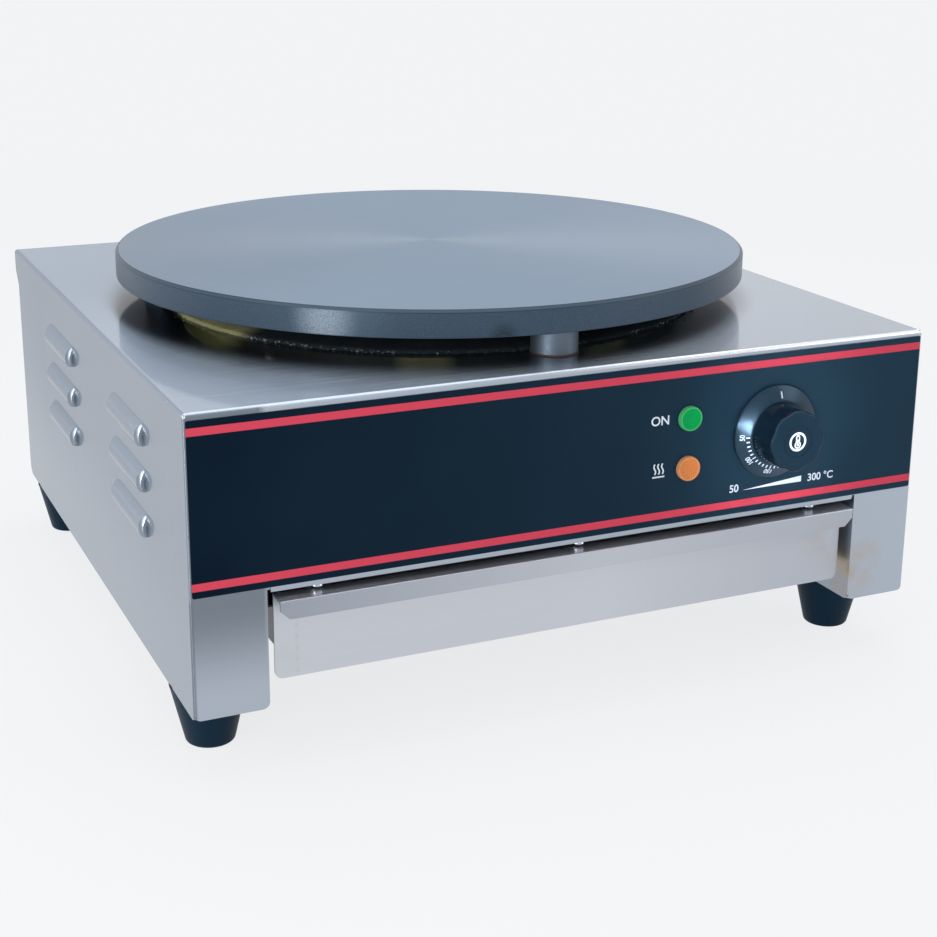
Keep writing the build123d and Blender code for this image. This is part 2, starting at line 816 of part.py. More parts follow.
# ---------------------------------------------------------------- thermostat, knob and lamps
def make_thermostat():
    half = thermostat_size / 2
    plate_back = thermostat_front_y + thermostat_plate
    body = block(knob_x - half, knob_x + half, thermostat_front_y, plate_back,
                 knob_z - half, knob_z + half)
    case_half = half - thermostat_rim
    body += block(knob_x - case_half, knob_x + case_half, plate_back, thermostat_back_y,
                  knob_z - case_half, knob_z + case_half)
    body -= rod_y(knob_x, knob_z, thermostat_front_y - cut,
                  thermostat_front_y + shaft_seat + fit_gap, shaft_radius + shaft_fit)
    for z in thermostat_screw_heights():
        body -= rod_y(knob_x, z, thermostat_front_y - cut,
                      film_front_y + thermostat_screw_length + fit_gap, screw_shank_radius)
    return body


def thermostat_screw_heights():
    return (knob_z - thermostat_screw_spacing / 2, knob_z + thermostat_screw_spacing / 2)


def make_thermostat_screws():
    screws = []
    for z in thermostat_screw_heights():
        head_y = film_front_y - thermostat_screw_head_height
        head = rod_y(knob_x, z, head_y, film_front_y, thermostat_screw_head_radius)
        screws.append(head + rod_y(knob_x, z, head_y, film_front_y + thermostat_screw_length,
                                   screw_shank_radius))
    return group(screws)


def make_skirt():
    return turned_y([(grip_hub_radius, skirt_back_y), (skirt_radius, skirt_back_y),
                     (skirt_radius, skirt_back_y - skirt_edge),
                     (skirt_seat_radius, skirt_seat_y), (grip_hub_radius, skirt_seat_y)],
                    knob_x, knob_z)


def make_grip():
    grip = turned_y([(0, skirt_seat_y), (grip_base_radius, skirt_seat_y),
                     (grip_face_radius, knob_face_y), (0, knob_face_y)], 0, 0)
    grip = fillet(grip.edges().group_by(Axis.Y)[0], grip_edge_radius)
    flute_circle = grip_base_radius + grip_flute_radius - grip_flute_depth
    for k in range(grip_flute_count):
        angle = 2 * math.pi * (k + 0.5) / grip_flute_count
        grip -= rod_y(flute_circle * math.cos(angle), flute_circle * math.sin(angle),
                      knob_face_y - cut, skirt_seat_y - grip_flute_rise, grip_flute_radius)
    grip += rod_y(0, 0, skirt_seat_y, skirt_back_y, grip_hub_radius)
    grip -= rod_y(0, 0, knob_face_y - cut, knob_face_y + knob_cap_thickness, knob_cap_radius)
    grip -= d_shaft(0, 0, shaft_end_y - fit_gap, skirt_back_y + cut)
    return Pos(knob_x, 0, knob_z) * grip


def d_shaft(x, z, y0, y1):
    shaft = rod_y(x, z, y0, y1, shaft_radius)
    flat_z = z + shaft_radius - shaft_flat
    return shaft - block(x - shaft_radius, x + shaft_radius, y0 - cut, y1 + cut, flat_z,
                         z + 2 * shaft_radius)


def make_shaft():
    back = rod_y(knob_x, knob_z, skirt_back_y, thermostat_front_y + shaft_seat, shaft_radius)
    return back + d_shaft(knob_x, knob_z, shaft_end_y, skirt_back_y)


def make_knob_cap():
    return rod_y(knob_x, knob_z, knob_face_y, knob_face_y + knob_cap_thickness,
                 knob_cap_radius)


def make_lamp_lens(z):
    lens = rod_y(lamp_x, z, film_front_y - lamp_lens_height, film_front_y, lamp_lens_radius)
    return fillet(lens.edges().group_by(Axis.Y)[0], lamp_lens_height * 0.45)


def make_lamp_body(z):
    barrel = rod_y(lamp_x, z, film_front_y, film_front_y + lamp_barrel_length,
                   lamp_barrel_radius)
    tail_y = film_front_y + lamp_barrel_length
    for dz in (-lamp_blade_offset, lamp_blade_offset):
        barrel += block(lamp_x - lamp_blade_width / 2, lamp_x + lamp_blade_width / 2, tail_y,
                        tail_y + lamp_blade_length, z + dz - lamp_blade_thickness / 2,
                        z + dz + lamp_blade_thickness / 2)
    return barrel


def make_lamp_clips():
    clips = []
    for z in lamp_heights.values():
        back = thermostat_front_y + lamp_clip_thickness
        clip = rod_y(lamp_x, z, thermostat_front_y, back, lamp_clip_radius)
        clips.append(clip - rod_y(lamp_x, z, thermostat_front_y - cut, back + cut,
                                  lamp_barrel_radius))
    return group(clips)


# ---------------------------------------------------------------- drawer
def make_drawer_front():
    half = drawer_front_x
    face = Pos(0, drawer_back_y, (drawer_top_z + drawer_bottom_z) / 2) * Rot(90, 0, 0) * extrude(
        Rectangle(2 * half, drawer_front_height), sheet)
    lower = face.edges().filter_by(Axis.Y).group_by(Axis.Z)[0]
    front = fillet(lower, drawer_corner_radius)
    lip_y = drawer_face_y - lip_depth
    front += block(-half, half, lip_y, drawer_back_y, drawer_top_z - sheet, drawer_top_z)
    lip = block(-half, half, lip_y, lip_y + sheet, drawer_top_z - lip_height, drawer_top_z)
    lip = chamfer(lip.edges().filter_by(Axis.Y).group_by(Axis.Z)[0], lip_chamfer)
    front += lip
    fold = front.edges().filter_by(Axis.X).group_by(Axis.Z)[-1].sort_by(Axis.Y)[0]
    return fillet(fold, lip_fold_radius)


def make_drawer_tray():
    top_z_tray = tray_flange_z + sheet
    tray = block(-tray_x, tray_x, drawer_back_y, tray_back_y, tray_bottom_z, top_z_tray)
    tray -= block(-tray_x + sheet, tray_x - sheet, drawer_back_y + sheet, tray_back_y - sheet,
                  tray_bottom_z + sheet, top_z_tray + cut)
    flange = block(tray_x - sheet / 2, tray_x + tray_flange_width,
                   drawer_back_y + tray_flange_setback, tray_back_y, tray_flange_z, top_z_tray)
    flange += block(tray_x + sheet, tray_x + tray_flange_width, tray_back_y - sheet, tray_back_y,
                    tray_flange_z, tray_flange_z + stop_height)
    for side in both_sides(flange):
        tray += side
    return tray


def make_runner():
    """The right-hand runner: a channel under the floor, with a stop lug for the tray's tab."""
    front = front_y + front_fold_depth + runner_end_gap
    rear = side_back_y - sheet - runner_end_gap
    inner_x = runner_web_x - runner_width
    web = block(runner_web_x, runner_web_x + sheet, front, rear, runner_ledge_z, floor_z)
    web += block(inner_x, runner_web_x + sheet, front, rear, runner_ledge_z,
                 runner_ledge_z + sheet)
    web += block(inner_x, runner_web_x + sheet, front, rear, floor_z - sheet, floor_z)
    stop_y = tray_back_y - sheet - drawer_travel - slide_gap
    tab_top = tray_flange_z + stop_height
    web += block(inner_x + sheet, runner_web_x, stop_y - sheet, stop_y,
                 tab_top - runner_stop_overlap, floor_z)
    return web


# ---------------------------------------------------------------- electrical bay
def terminal_screw_places():
    spread = terminal_width / 2 - terminal_screw_inset
    return (terminal_x - spread, terminal_x + spread)


def wire_ports():
    """The x of the block's live, neutral and earth ports."""
    pitch = terminal_width / 2 - terminal_port_inset
    return (terminal_x - pitch, terminal_x, terminal_x + pitch)


def make_terminal_block():
    body = block(terminal_x - terminal_width / 2, terminal_x + terminal_width / 2,
                 terminal_front_y, terminal_y + terminal_depth / 2,
                 floor_top_z, floor_top_z + terminal_height)
    for x in wire_ports():
        body -= rod(x, terminal_y, floor_top_z + terminal_height - terminal_port_depth,
                    floor_top_z + terminal_height + cut, terminal_port_radius)
    for x in terminal_screw_places():
        body -= rod(x, terminal_y, floor_top_z - cut, floor_top_z + terminal_height + cut,
                    screw_shank_radius)
    return body


def make_terminal_screws():
    head_z = floor_top_z + terminal_height
    screws = []
    for x in terminal_screw_places():
        head = rod(x, terminal_y, head_z, head_z + screw_head_height, screw_head_radius)
        shank = rod(x, terminal_y, floor_z - 3 * sheet, head_z, screw_shank_radius)
        screws.append(head + shank)
    return group(screws)


def make_earth_stud():
    stud = rod(earth_stud_x, earth_stud_y, floor_z, floor_z + earth_stud_height,
               earth_stud_radius)
    return stud + rod(earth_stud_x, earth_stud_y, floor_z - earth_head_height, floor_z,
                      earth_head_radius)


def make_earth_nut():
    nut = Pos(earth_stud_x, earth_stud_y, floor_top_z) * hexagon(earth_nut_radius,
                                                                 earth_nut_height)
    return nut - rod(earth_stud_x, earth_stud_y, floor_z, floor_z + earth_stud_height,
                     earth_stud_radius)


def make_gland_body():
    body = hex_y(gland_x, gland_z, panel_back_y, gland_seat_y, gland_hex_radius)
    thread_y = side_back_y - gland_locknut_thickness - gland_thread_spare
    body += rod_y(gland_x, gland_z, thread_y, gland_body_end_y, gland_thread_radius)
    return body - rod_y(gland_x, gland_z, thread_y - cut, gland_body_end_y + cut,
                        gland_bore_radius)


def make_gland_locknut():
    y1 = side_back_y
    y0 = y1 - gland_locknut_thickness
    nut = hex_y(gland_x, gland_z, y0, y1, gland_hex_radius)
    return nut - rod_y(gland_x, gland_z, y0 - cut, y1 + cut, gland_thread_radius)


def make_dome_nut():
    y0 = gland_seat_y + dome_seat_gap
    nut = hex_y(gland_x, gland_z, y0, y0 + dome_hex_length, gland_hex_radius)
    dome_y = y0 + dome_hex_length - sheet
    nut += turned_y([(0, dome_y), (dome_radius, dome_y), (dome_radius, gland_end_y - dome_nose),
                     (dome_nose_radius, gland_end_y), (0, gland_end_y)], gland_x, gland_z)
    nut -= rod_y(gland_x, gland_z, y0 - cut, gland_seal_y + gland_seal_length / 2,
                 gland_thread_radius)
    return nut - rod_y(gland_x, gland_z, y0, gland_end_y + cut, dome_mouth_radius)


def make_gland_seal():
    y0 = gland_seal_y
    y1 = y0 + gland_seal_length / 2
    seal = rod_y(gland_x, gland_z, y0, y1, gland_thread_radius - fit_gap)
    seal += rod_y(gland_x, gland_z, y0 - gland_seal_length / 2, y1, gland_bore_radius - fit_gap)
    return seal - rod_y(gland_x, gland_z, y0 - gland_seal_length, y1 + cut, gland_cable_radius)


def make_wires():
    live_x, neutral_x, earth_x = wire_ports()
    (outer_a, outer_b) = element_ends(outer_element_circle)
    (inner_a, inner_b) = element_ends(inner_element_circle)
    back = thermostat_back_y
    live_feed = [(live_x, terminal_front_y, port_z), (live_x, terminal_front_y - 45, port_z),
                 (live_x + 70, terminal_front_y - 130, port_z + 2),
                 (live_x + 150, back + 80, port_z + 10),
                 (knob_x - 9, back + 45, knob_z - 8), (knob_x - 9, back, knob_z - 8)]
    live_out = [(knob_x + 9, back, knob_z + 8), (knob_x + 9, back + 40, knob_z + 8),
                (knob_x - 20, back + 120, knob_z + 6),
                (outer_a[0] + 30, outer_a[1] - 60, pin_bottom_z - 32),
                (outer_a[0], outer_a[1], pin_bottom_z - 30),
                (outer_a[0], outer_a[1], pin_bottom_z)]
    neutral = [(inner_b[0], inner_b[1], pin_bottom_z),
               (inner_b[0], inner_b[1], pin_bottom_z - 26),
               (inner_b[0] - 40, inner_b[1] - 10, pin_bottom_z - 38),
               (neutral_x + 12, terminal_front_y - 50, port_z + 4),
               (neutral_x, terminal_front_y - 28, port_z), (neutral_x, terminal_front_y, port_z)]
    link = [(outer_b[0], outer_b[1], pin_bottom_z),
            (outer_b[0], outer_b[1], pin_bottom_z - 16),
            (inner_a[0], inner_a[1], pin_bottom_z - 18),
            (inner_a[0], inner_a[1], pin_bottom_z)]
    earth = [(earth_x, terminal_front_y, port_z), (earth_x, terminal_front_y - 22, port_z),
             (earth_x + 26, terminal_front_y - 26, floor_top_z + 12),
             (earth_stud_x, terminal_front_y - 2, floor_top_z + 7),
             (earth_stud_x, earth_stud_y - earth_stud_radius, floor_top_z + 7)]
    return {
        "wire_live_feed": tube(live_feed, wire_radius),
        "wire_live_heater": tube(live_out, wire_radius),
        "wire_neutral": tube(neutral, wire_radius),
        "wire_heater_link": tube(link, wire_radius),
        "wire_earth": tube(earth, wire_radius),
    }


def make_lamp_leads():
    power_z = lamp_heights["power"]
    heat_z = lamp_heights["heat"]
    tip_y = film_front_y + lamp_barrel_length + lamp_blade_length
    back = thermostat_back_y
    bridge = [(lamp_x, tip_y, power_z + lamp_blade_offset),
              (lamp_x, tip_y + 14, power_z + lamp_blade_offset),
              (lamp_x - 12, tip_y + 18, (power_z + heat_z) / 2 + lamp_blade_offset),
              (lamp_x, tip_y + 14, heat_z + lamp_blade_offset),
              (lamp_x, tip_y, heat_z + lamp_blade_offset)]
    power_lead = [(lamp_x, tip_y, power_z - lamp_blade_offset),
                  (lamp_x, tip_y + 10, power_z - lamp_blade_offset),
                  (lamp_x + 24, tip_y + 26, knob_z + 14), (knob_x - 12, back + 16, knob_z + 12),
                  (knob_x - 12, back, knob_z + 12)]
    heat_lead = [(lamp_x, tip_y, heat_z - lamp_blade_offset),
                 (lamp_x, tip_y + 10, heat_z - lamp_blade_offset),
                 (lamp_x + 24, tip_y + 28, knob_z - 14), (knob_x + 12, back + 16, knob_z - 13),
                 (knob_x + 12, back, knob_z - 13)]
    return group([tube(route, wire_radius) for route in (bridge, power_lead, heat_lead)])


def make_capillary():
    x, y = capillary_place()
    drop_z = top_z - capillary_drop
    route = [(bulb_length / 2, bulb_y, bulb_z), (x, bulb_y, bulb_z), (x, y, drop_z),
             (x + 34, y - 70, drop_z - 8), (knob_x, thermostat_back_y + 60, knob_z + 16),
             (knob_x, thermostat_back_y + 24, knob_z), (knob_x, thermostat_back_y, knob_z)]
    return tube(route, capillary_radius)


# ---------------------------------------------------------------- all pieces
parts["outer_casing"] = make_outer_casing()
parts["front_film"] = make_film()
parts["back_panel"] = make_back_panel()
parts["bay_floor"] = make_floor()
parts["front_fold_screws"] = make_front_fold_screws()
parts["back_panel_screws"] = make_back_screws()
for corner, (x, y) in foot_places.items():
    parts["foot_" + corner] = make_foot(x, y)
parts["foot_screws"] = make_foot_screws()
parts["foot_nuts"] = make_foot_nuts()

parts["griddle_plate"] = make_plate()
for name, (x, y) in zip(("front", "right", "left"), support_places):
    parts["plate_support_" + name] = make_support(x, y)
parts["support_washers"] = make_support_washers()
parts["plate_bolts"] = make_plate_bolts()
parts["insulation_pad"] = make_insulation_pad()
parts["heater_pan"] = make_heater_pan()
parts["heater_pan_screws"] = make_pan_screws()
parts["insulation_disc"] = make_insulation_disc()
parts["heating_element_outer"] = make_element(outer_element_circle)
parts["heating_element_inner"] = make_element(inner_element_circle)
parts["sensing_bulb"] = make_bulb()
parts["bulb_clip"] = make_bulb_clip()
parts["bulb_clip_screw"] = make_clip_screw()
parts["capillary_tube"] = make_capillary()

parts["thermostat_body"] = make_thermostat()
parts["thermostat_screws"] = make_thermostat_screws()
parts["thermostat_shaft"] = make_shaft()
parts["knob_skirt"] = make_skirt()
parts["knob_grip"] = make_grip()
parts["knob_cap"] = make_knob_cap()
for name, z in lamp_heights.items():
    parts[name + "_lamp_lens"] = make_lamp_lens(z)
    parts[name + "_lamp_body"] = make_lamp_body(z)
parts["lamp_clips"] = make_lamp_clips()

parts["drawer_front"] = make_drawer_front()
parts["drawer_tray"] = make_drawer_tray()
parts["drawer_runner_right"] = make_runner()
parts["drawer_runner_left"] = mirror(make_runner(), Plane.YZ)

parts["terminal_block"] = make_terminal_block()
parts["terminal_block_screws"] = make_terminal_screws()
parts["earth_stud"] = make_earth_stud()
parts["earth_stud_nut"] = make_earth_nut()
parts["cable_gland_body"] = make_gland_body()
parts["cable_gland_locknut"] = make_gland_locknut()
parts["cable_gland_dome_nut"] = make_dome_nut()
parts["cable_gland_seal"] = make_gland_seal()
parts.update(make_wires())
parts["lamp_leads"] = make_lamp_leads()

os.makedirs("parts", exist_ok=True)
for name, shape in parts.items():
    export_step(shape, os.path.join("parts", name + ".step"))
print(len(parts), "parts written")
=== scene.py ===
import math
import random

import bmesh
import bpy
from bpy.props import FloatProperty, FloatVectorProperty, IntProperty, PointerProperty
from mathutils import Matrix, Vector, noise


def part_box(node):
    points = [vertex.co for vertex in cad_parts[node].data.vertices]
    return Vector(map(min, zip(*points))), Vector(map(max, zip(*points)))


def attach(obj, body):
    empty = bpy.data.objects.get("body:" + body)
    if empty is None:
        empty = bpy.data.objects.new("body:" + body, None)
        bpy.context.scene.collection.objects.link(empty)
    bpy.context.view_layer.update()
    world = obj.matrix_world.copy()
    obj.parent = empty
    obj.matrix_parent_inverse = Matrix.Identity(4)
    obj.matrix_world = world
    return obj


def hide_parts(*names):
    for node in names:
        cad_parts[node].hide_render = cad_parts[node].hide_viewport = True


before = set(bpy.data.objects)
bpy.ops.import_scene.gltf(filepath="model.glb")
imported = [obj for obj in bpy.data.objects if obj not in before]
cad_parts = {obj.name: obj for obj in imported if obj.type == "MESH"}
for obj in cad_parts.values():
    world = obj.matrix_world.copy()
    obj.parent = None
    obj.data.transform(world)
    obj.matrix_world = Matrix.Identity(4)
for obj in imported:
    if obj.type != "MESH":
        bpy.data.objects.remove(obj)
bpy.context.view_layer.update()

bl_info = {
    "name": "Electric Crepe Maker",
    "version": (1, 0, 0),
    "blender": (4, 5, 0),
    "location": "View3D > Sidebar > Crepe Maker",
    "description": "Finishes and fine pieces for an electric crepe maker with a drawer",
    "category": "Add Mesh",
}

MM = 0.001

FILM_LOW, FILM_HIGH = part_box("front_film")
CASING_LOW, CASING_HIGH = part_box("outer_casing")
PLATE_LOW, PLATE_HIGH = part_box("griddle_plate")
PAD_LOW, PAD_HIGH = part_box("insulation_pad")
DRAWER_LOW, DRAWER_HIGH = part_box("drawer_front")
GRIP_LOW, GRIP_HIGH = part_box("knob_grip")
SKIRT_LOW, SKIRT_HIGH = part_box("knob_skirt")
CAP_LOW, CAP_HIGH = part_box("knob_cap")


def half_width(low, high):
    """The radius of a round piece, from its box."""
    return (high.x - low.x) / 2


FILM_FRONT = FILM_LOW.y
FILM_INSET = 1.5 * MM
PANEL_LEFT = FILM_LOW.x - FILM_INSET
PLATE_CENTRE = (PLATE_LOW + PLATE_HIGH) / 2
PLATE_RADIUS = half_width(PLATE_LOW, PLATE_HIGH)
PAD_CENTRE = (PAD_LOW + PAD_HIGH) / 2
PAD_RADIUS = half_width(PAD_LOW, PAD_HIGH)
KNOB_CENTRE = (SKIRT_LOW + SKIRT_HIGH) / 2
SKIRT_RADIUS = half_width(SKIRT_LOW, SKIRT_HIGH)
CAP_RADIUS = half_width(CAP_LOW, CAP_HIGH)
# The bluish cast of highlights on the dark pieces
COOL = (0.40, 0.70, 1.0)
# Height of a capital in the built-in font, as a share of its size
CAPITAL = 0.69


# ---------------------------------------------------------------- settings
def colour(name, description, default):
    return FloatVectorProperty(
        name=name, description=description, default=default, size=3, min=0.0, max=1.0, subtype="COLOR")


def length(name, description, default):
    return FloatProperty(
        name=name, description=description, default=default, min=0.0, precision=5, unit="LENGTH")


def share(name, description, default):
    return FloatProperty(
        name=name, description=description, default=default, min=0.0, max=1.0, subtype="FACTOR")


def angle(name, description, degrees):
    return FloatProperty(
        name=name, description=description, default=math.radians(degrees), subtype="ANGLE")


class CrepeMakerSteel(bpy.types.PropertyGroup):
    """The brushed sheet of the casing and the drawer"""

    sheet: colour("Sheet", "Colour of the casing's stainless sheet", (0.31, 0.365, 0.44))
    # Painted light: laid on the top towards the right and on the front.
    sheet_painted_light: colour("Light sheet", "Colour of the casing where it is brighter", (0.50, 0.55, 0.62))
    # Painted highlight along the fold at the top's front edge.
    fold_highlight: colour("Bright sheet", "Colour of the fold along the top's front edge", (0.85, 0.87, 0.92))
    # Painted shade: laid on the top towards the rear left and on the sides towards the rear.
    sheet_painted_shade: colour("Side sheet", "Colour towards the rear of the sides and top", (0.13, 0.185, 0.27))
    # Painted reflection: the dark tone high on the left leg and along the left front corner's bend.
    sheet_dark_reflection: colour("Dull sheet", "Colour of the casing where it is duller", (0.15, 0.18, 0.22))
    drawer: colour("Drawer", "Colour of the drawer's stainless sheet", (0.59, 0.615, 0.665))
    # Painted shade on the drawer's lip and right end; also the faint tone of its spot welds.
    drawer_shade_and_welds: colour("Dull drawer", "Colour of the drawer where it is duller", (0.25, 0.29, 0.35))
    roughness: share("Roughness", "How blurred the sheet's reflections are", 0.25)
    stretch: share("Stretch", "How much further reflections blur across the grain", 1.0)
    polish: share("Polish", "How much of a clear mirror image the sheet adds", 0.6)
    # Painted shade on the top under the plate.
    under_plate_shade: colour("Scorch", "Colour of the top where the plate has scorched it", (0.02, 0.036, 0.052))
    heat_tint: colour("Heat tint", "Straw colour beside the spot welds", (0.42, 0.30, 0.16))
    # The tray's enamel is also kept dark as painted shade in the gap beside the drawer front.
    enamel: colour("Enamel", "Dark enamel of the drawer's tray", (0.03, 0.038, 0.046))
    weld_pitch: length("Weld pitch", "Distance between spot welds on the drawer front", 13 * MM)
    weld_inset: length("Weld inset", "Distance from the drawer front's end to its welds", 12.5 * MM)
    bead: length("Bead", "Size of the weld bead on each top front corner", 1.6 * MM)


class CrepeMakerFascia(bpy.types.PropertyGroup):
    """The printed film on the front"""

    ground: colour("Ground", "Colour of the film at its left end", (0.0022, 0.0071, 0.0158))
    ground_end: colour("Ground end", "Colour of the film at its right end", (0.012, 0.032, 0.054))
    stripe: colour("Stripe", "Colour of the two stripes", (0.54, 0.053, 0.086))
    print_white: colour("Print", "Colour of the printed marks", (0.62, 0.68, 0.74))
    stripe_width: length("Stripe width", "Height of each stripe", 4.3 * MM)
    stripe_inset: length("Stripe inset", "From the film's edge to the stripe", 3.7 * MM)
    ink: length("Ink", "Thickness of the printed marks", 0.06 * MM)
    letter_height: length("Letter height", "Height of the capitals by the lamps", 5.2 * MM)
    scale_height: length("Scale height", "Height of the figures under the knob", 4.4 * MM)


class CrepeMakerGriddle(bpy.types.PropertyGroup):
    """The cast-iron plate"""

    face: colour("Face", "Colour of the machined face", (0.158, 0.215, 0.292))
    rim: colour("Rim", "Colour of the rim and the underside", (0.028, 0.046, 0.070))
    # The rubbed patch is also placed and brightened as a painted highlight.
    rubbed: colour("Rubbed", "Colour of the rim where it is rubbed bare", (0.22, 0.265, 0.305))
    # Also blackens the plate's underside as painted shade.
    soot_and_shade: colour("Soot", "Colour of burnt marks and the lines beside the bevel", (0.004, 0.007, 0.012))
    roughness: share("Roughness", "Roughness of the machined face", 0.42)
    chamfer: length("Chamfer", "Width of the bevel round the top edge", 1.6 * MM)
    groove_pitch: length("Groove pitch", "Distance between the fine turning marks", 0.45 * MM)
    recess_radius: length("Recess radius", "Radius of the recess underneath", 148 * MM)
    recess_depth: length("Recess depth", "Depth of the recess underneath", 4 * MM)


class CrepeMakerHeater(bpy.types.PropertyGroup):
    """What shows between the plate and the casing"""

    # Painted light: the pan's khaki is made far lighter than its own, where the plate shades it.
    passivation_lit: colour("Passivation", "Khaki colour of the heater pan", (0.92, 0.90, 0.44))
    # Painted shade over the heater pan outside its three patches.
    shaded: colour("Scorched", "Colour of the heater pan where it is sooted", (0.012, 0.022, 0.032))
    fibre: colour("Fibre", "Colour of the insulation's fresh fibres", (0.34, 0.39, 0.40))
    # Painted shade: the insulation's colour under the plate, away from its pale flecks.
    fibre_dark: colour("Dark fibre", "Colour of the insulation where it is scorched", (0.016, 0.022, 0.027))
    patch_tone: colour("Lacquer", "Khaki of the board's lacquered patch", (0.33, 0.33, 0.17))
    casting: colour("Casting", "Colour of the plate's legs", (0.16, 0.20, 0.25))
    ragged: length("Ragged edge", "How uneven the insulation's torn edge is", 1.1 * MM)
    crumbs: IntProperty(name="Crumbs", description="Loose crumbs of insulation", default=60, min=0)
    crumb: length("Crumb", "Size of the largest crumb", 0.55 * MM)


class CrepeMakerKnob(bpy.types.PropertyGroup):
    """The thermostat knob"""

    phenolic: colour("Phenolic", "Colour of the moulded knob", (0.0046, 0.0128, 0.0235))
    lobes: IntProperty(name="Lobes", description="Lobes round the grip", default=8, min=3, max=24)
    base_radius: length("Base radius", "Radius of the grip where it meets the skirt", 18.3 * MM)
    scoop: length("Scoop", "Depth of the hollows between lobes", 1.0 * MM)
    scoop_fade: length("Scoop fade", "Height over which the hollows run out at the skirt", 9 * MM)
    seat_radius: length("Seat radius", "Radius of the skirt's level middle", 19.2 * MM)
    skirt_edge: length("Skirt edge", "Thickness of the skirt at its edge", 0.8 * MM)
    tilt: angle("Tilt", "How far the mark for off stands clockwise of the top", 3)
    edge: length("Edge", "Rounding of the grip's front edge", 1.5 * MM)
    first_figure: angle("First figure", "From the mark round to the first figure", 95)
    figure_step: angle("Figure step", "From one figure to the next", 38)
    figures: IntProperty(name="Figures", description="Number of figures on the dial", default=6, min=2, max=9)
    degrees_step: IntProperty(name="Degrees step", description="Degrees between figures", default=50)
    small_marks: IntProperty(name="Small marks", description="Divisions between figures", default=5, min=1)
    figure_height: length("Figure height", "Height of the dial's figures", 2.6 * MM)
    mark_radius: length("Mark radius", "Distance of the marks' inner ends from the middle", 19.9 * MM)
    badge_radius: length("Badge radius", "Outer radius of the ring on the cap", 5.6 * MM)
    badge_line: length("Badge line", "Line width of the cap's symbol", 1.25 * MM)


class CrepeMakerLamps(bpy.types.PropertyGroup):
    """The indicator lamps"""

    green: colour("Green", "Colour of the power lamp", (0.0005, 0.28, 0.058))
    orange: colour("Orange", "Colour of the heat lamp", (0.54, 0.19, 0.049))
    rim: length("Rim", "Width of the smooth rim round the grid", 1.3 * MM)
    # Painted highlight: the pale tone of the lens's rim.
    rim_highlight: colour("Rim tone", "Pale tone of the rim", (0.42, 0.50, 0.47))
    cell: length("Cell", "Pitch of the lens's grid", 1.4 * MM)
    cell_depth: length("Cell depth", "Depth of the lens's grid", 0.3 * MM)


class CrepeMakerFeet(bpy.types.PropertyGroup):
    """The rubber feet"""

    rubber: colour("Rubber", "Colour of the feet", (0.0055, 0.018, 0.034))
    top_radius: length("Top radius", "Radius under the casing", 21.5 * MM)
    bottom_radius: length("Bottom radius", "Radius on the worktop", 13.5 * MM)
    edge: length("Edge", "Rounding of the lower edge", 2 * MM)
    bore_radius: length("Bore radius", "Radius of the screw's recess", 6.6 * MM)
    bore_depth: length("Bore depth", "Depth of the screw's recess", 20 * MM)


class CrepeMakerStudio(bpy.types.PropertyGroup):
    """Floor, background, light and camera"""

    background: colour("Background", "Colour of the background", (0.888, 0.896, 0.913))
    fill: share("Fill", "Strength of the background as light", 0.55)
    shadow: share("Shadow", "How much of the object's shadow the floor keeps", 0.11)
    lens: FloatProperty(name="Lens", description="Focal length", default=66.04, min=1.0, unit="CAMERA")
    frame_rise: FloatProperty(name="Frame rise", description="Vertical shift of the frame", default=-0.0731)
    camera_place: FloatVectorProperty(
        name="Camera place", description="Where the camera stands", default=(-0.43105, -1.01616, 0.44369),
        size=3, subtype="TRANSLATION")
    camera_yaw: angle("Camera yaw", "How far the camera is turned to the right", 24.48)
    camera_pitch: angle("Camera pitch", "How far the camera looks down", 16.21)
    camera_roll: angle("Camera roll", "How far the camera is tilted", 0.41)


# ---------------------------------------------------------------- finishes
class Nodes:
    """A node tree in the making, with short calls for its nodes."""

    def __init__(self, tree):
        self.tree = tree

    def add(self, kind, **settings):
        node = self.tree.nodes.new("ShaderNode" + kind)
        for key, value in settings.items():
            setattr(node, key, value)
        return node

    def feed(self, socket, value):
        """Links a socket, or sets its constant."""
        if isinstance(value, bpy.types.NodeSocket):
            self.tree.links.new(value, socket)
        elif hasattr(value, "__len__") and socket.type == "RGBA" and len(value) == 3:
            socket.default_value = (*value, 1.0)
        else:
            socket.default_value = value

    def sum(self, operation, *values):
        """One step of arithmetic."""
        node = self.add("Math", operation=operation)
        for socket, value in zip(node.inputs, values):
            self.feed(socket, value)
        return node.outputs[0]

    def both(self, *amounts):
        """The product of several amounts."""
        product = amounts[0]
        for amount in amounts[1:]:
            product = self.sum("MULTIPLY", product, amount)
        return product

    def hypot(self, across, up):
        squares = self.sum("ADD", self.sum("POWER", across, 2.0), self.sum("POWER", up, 2.0))
        return self.sum("SQRT", squares)

    def mixed(self, factor, low, high):
        """A shader between two others."""
        node = self.add("MixShader")
        for socket, value in zip(node.inputs, (factor, low, high)):
            self.feed(socket, value)
        return node.outputs[0]


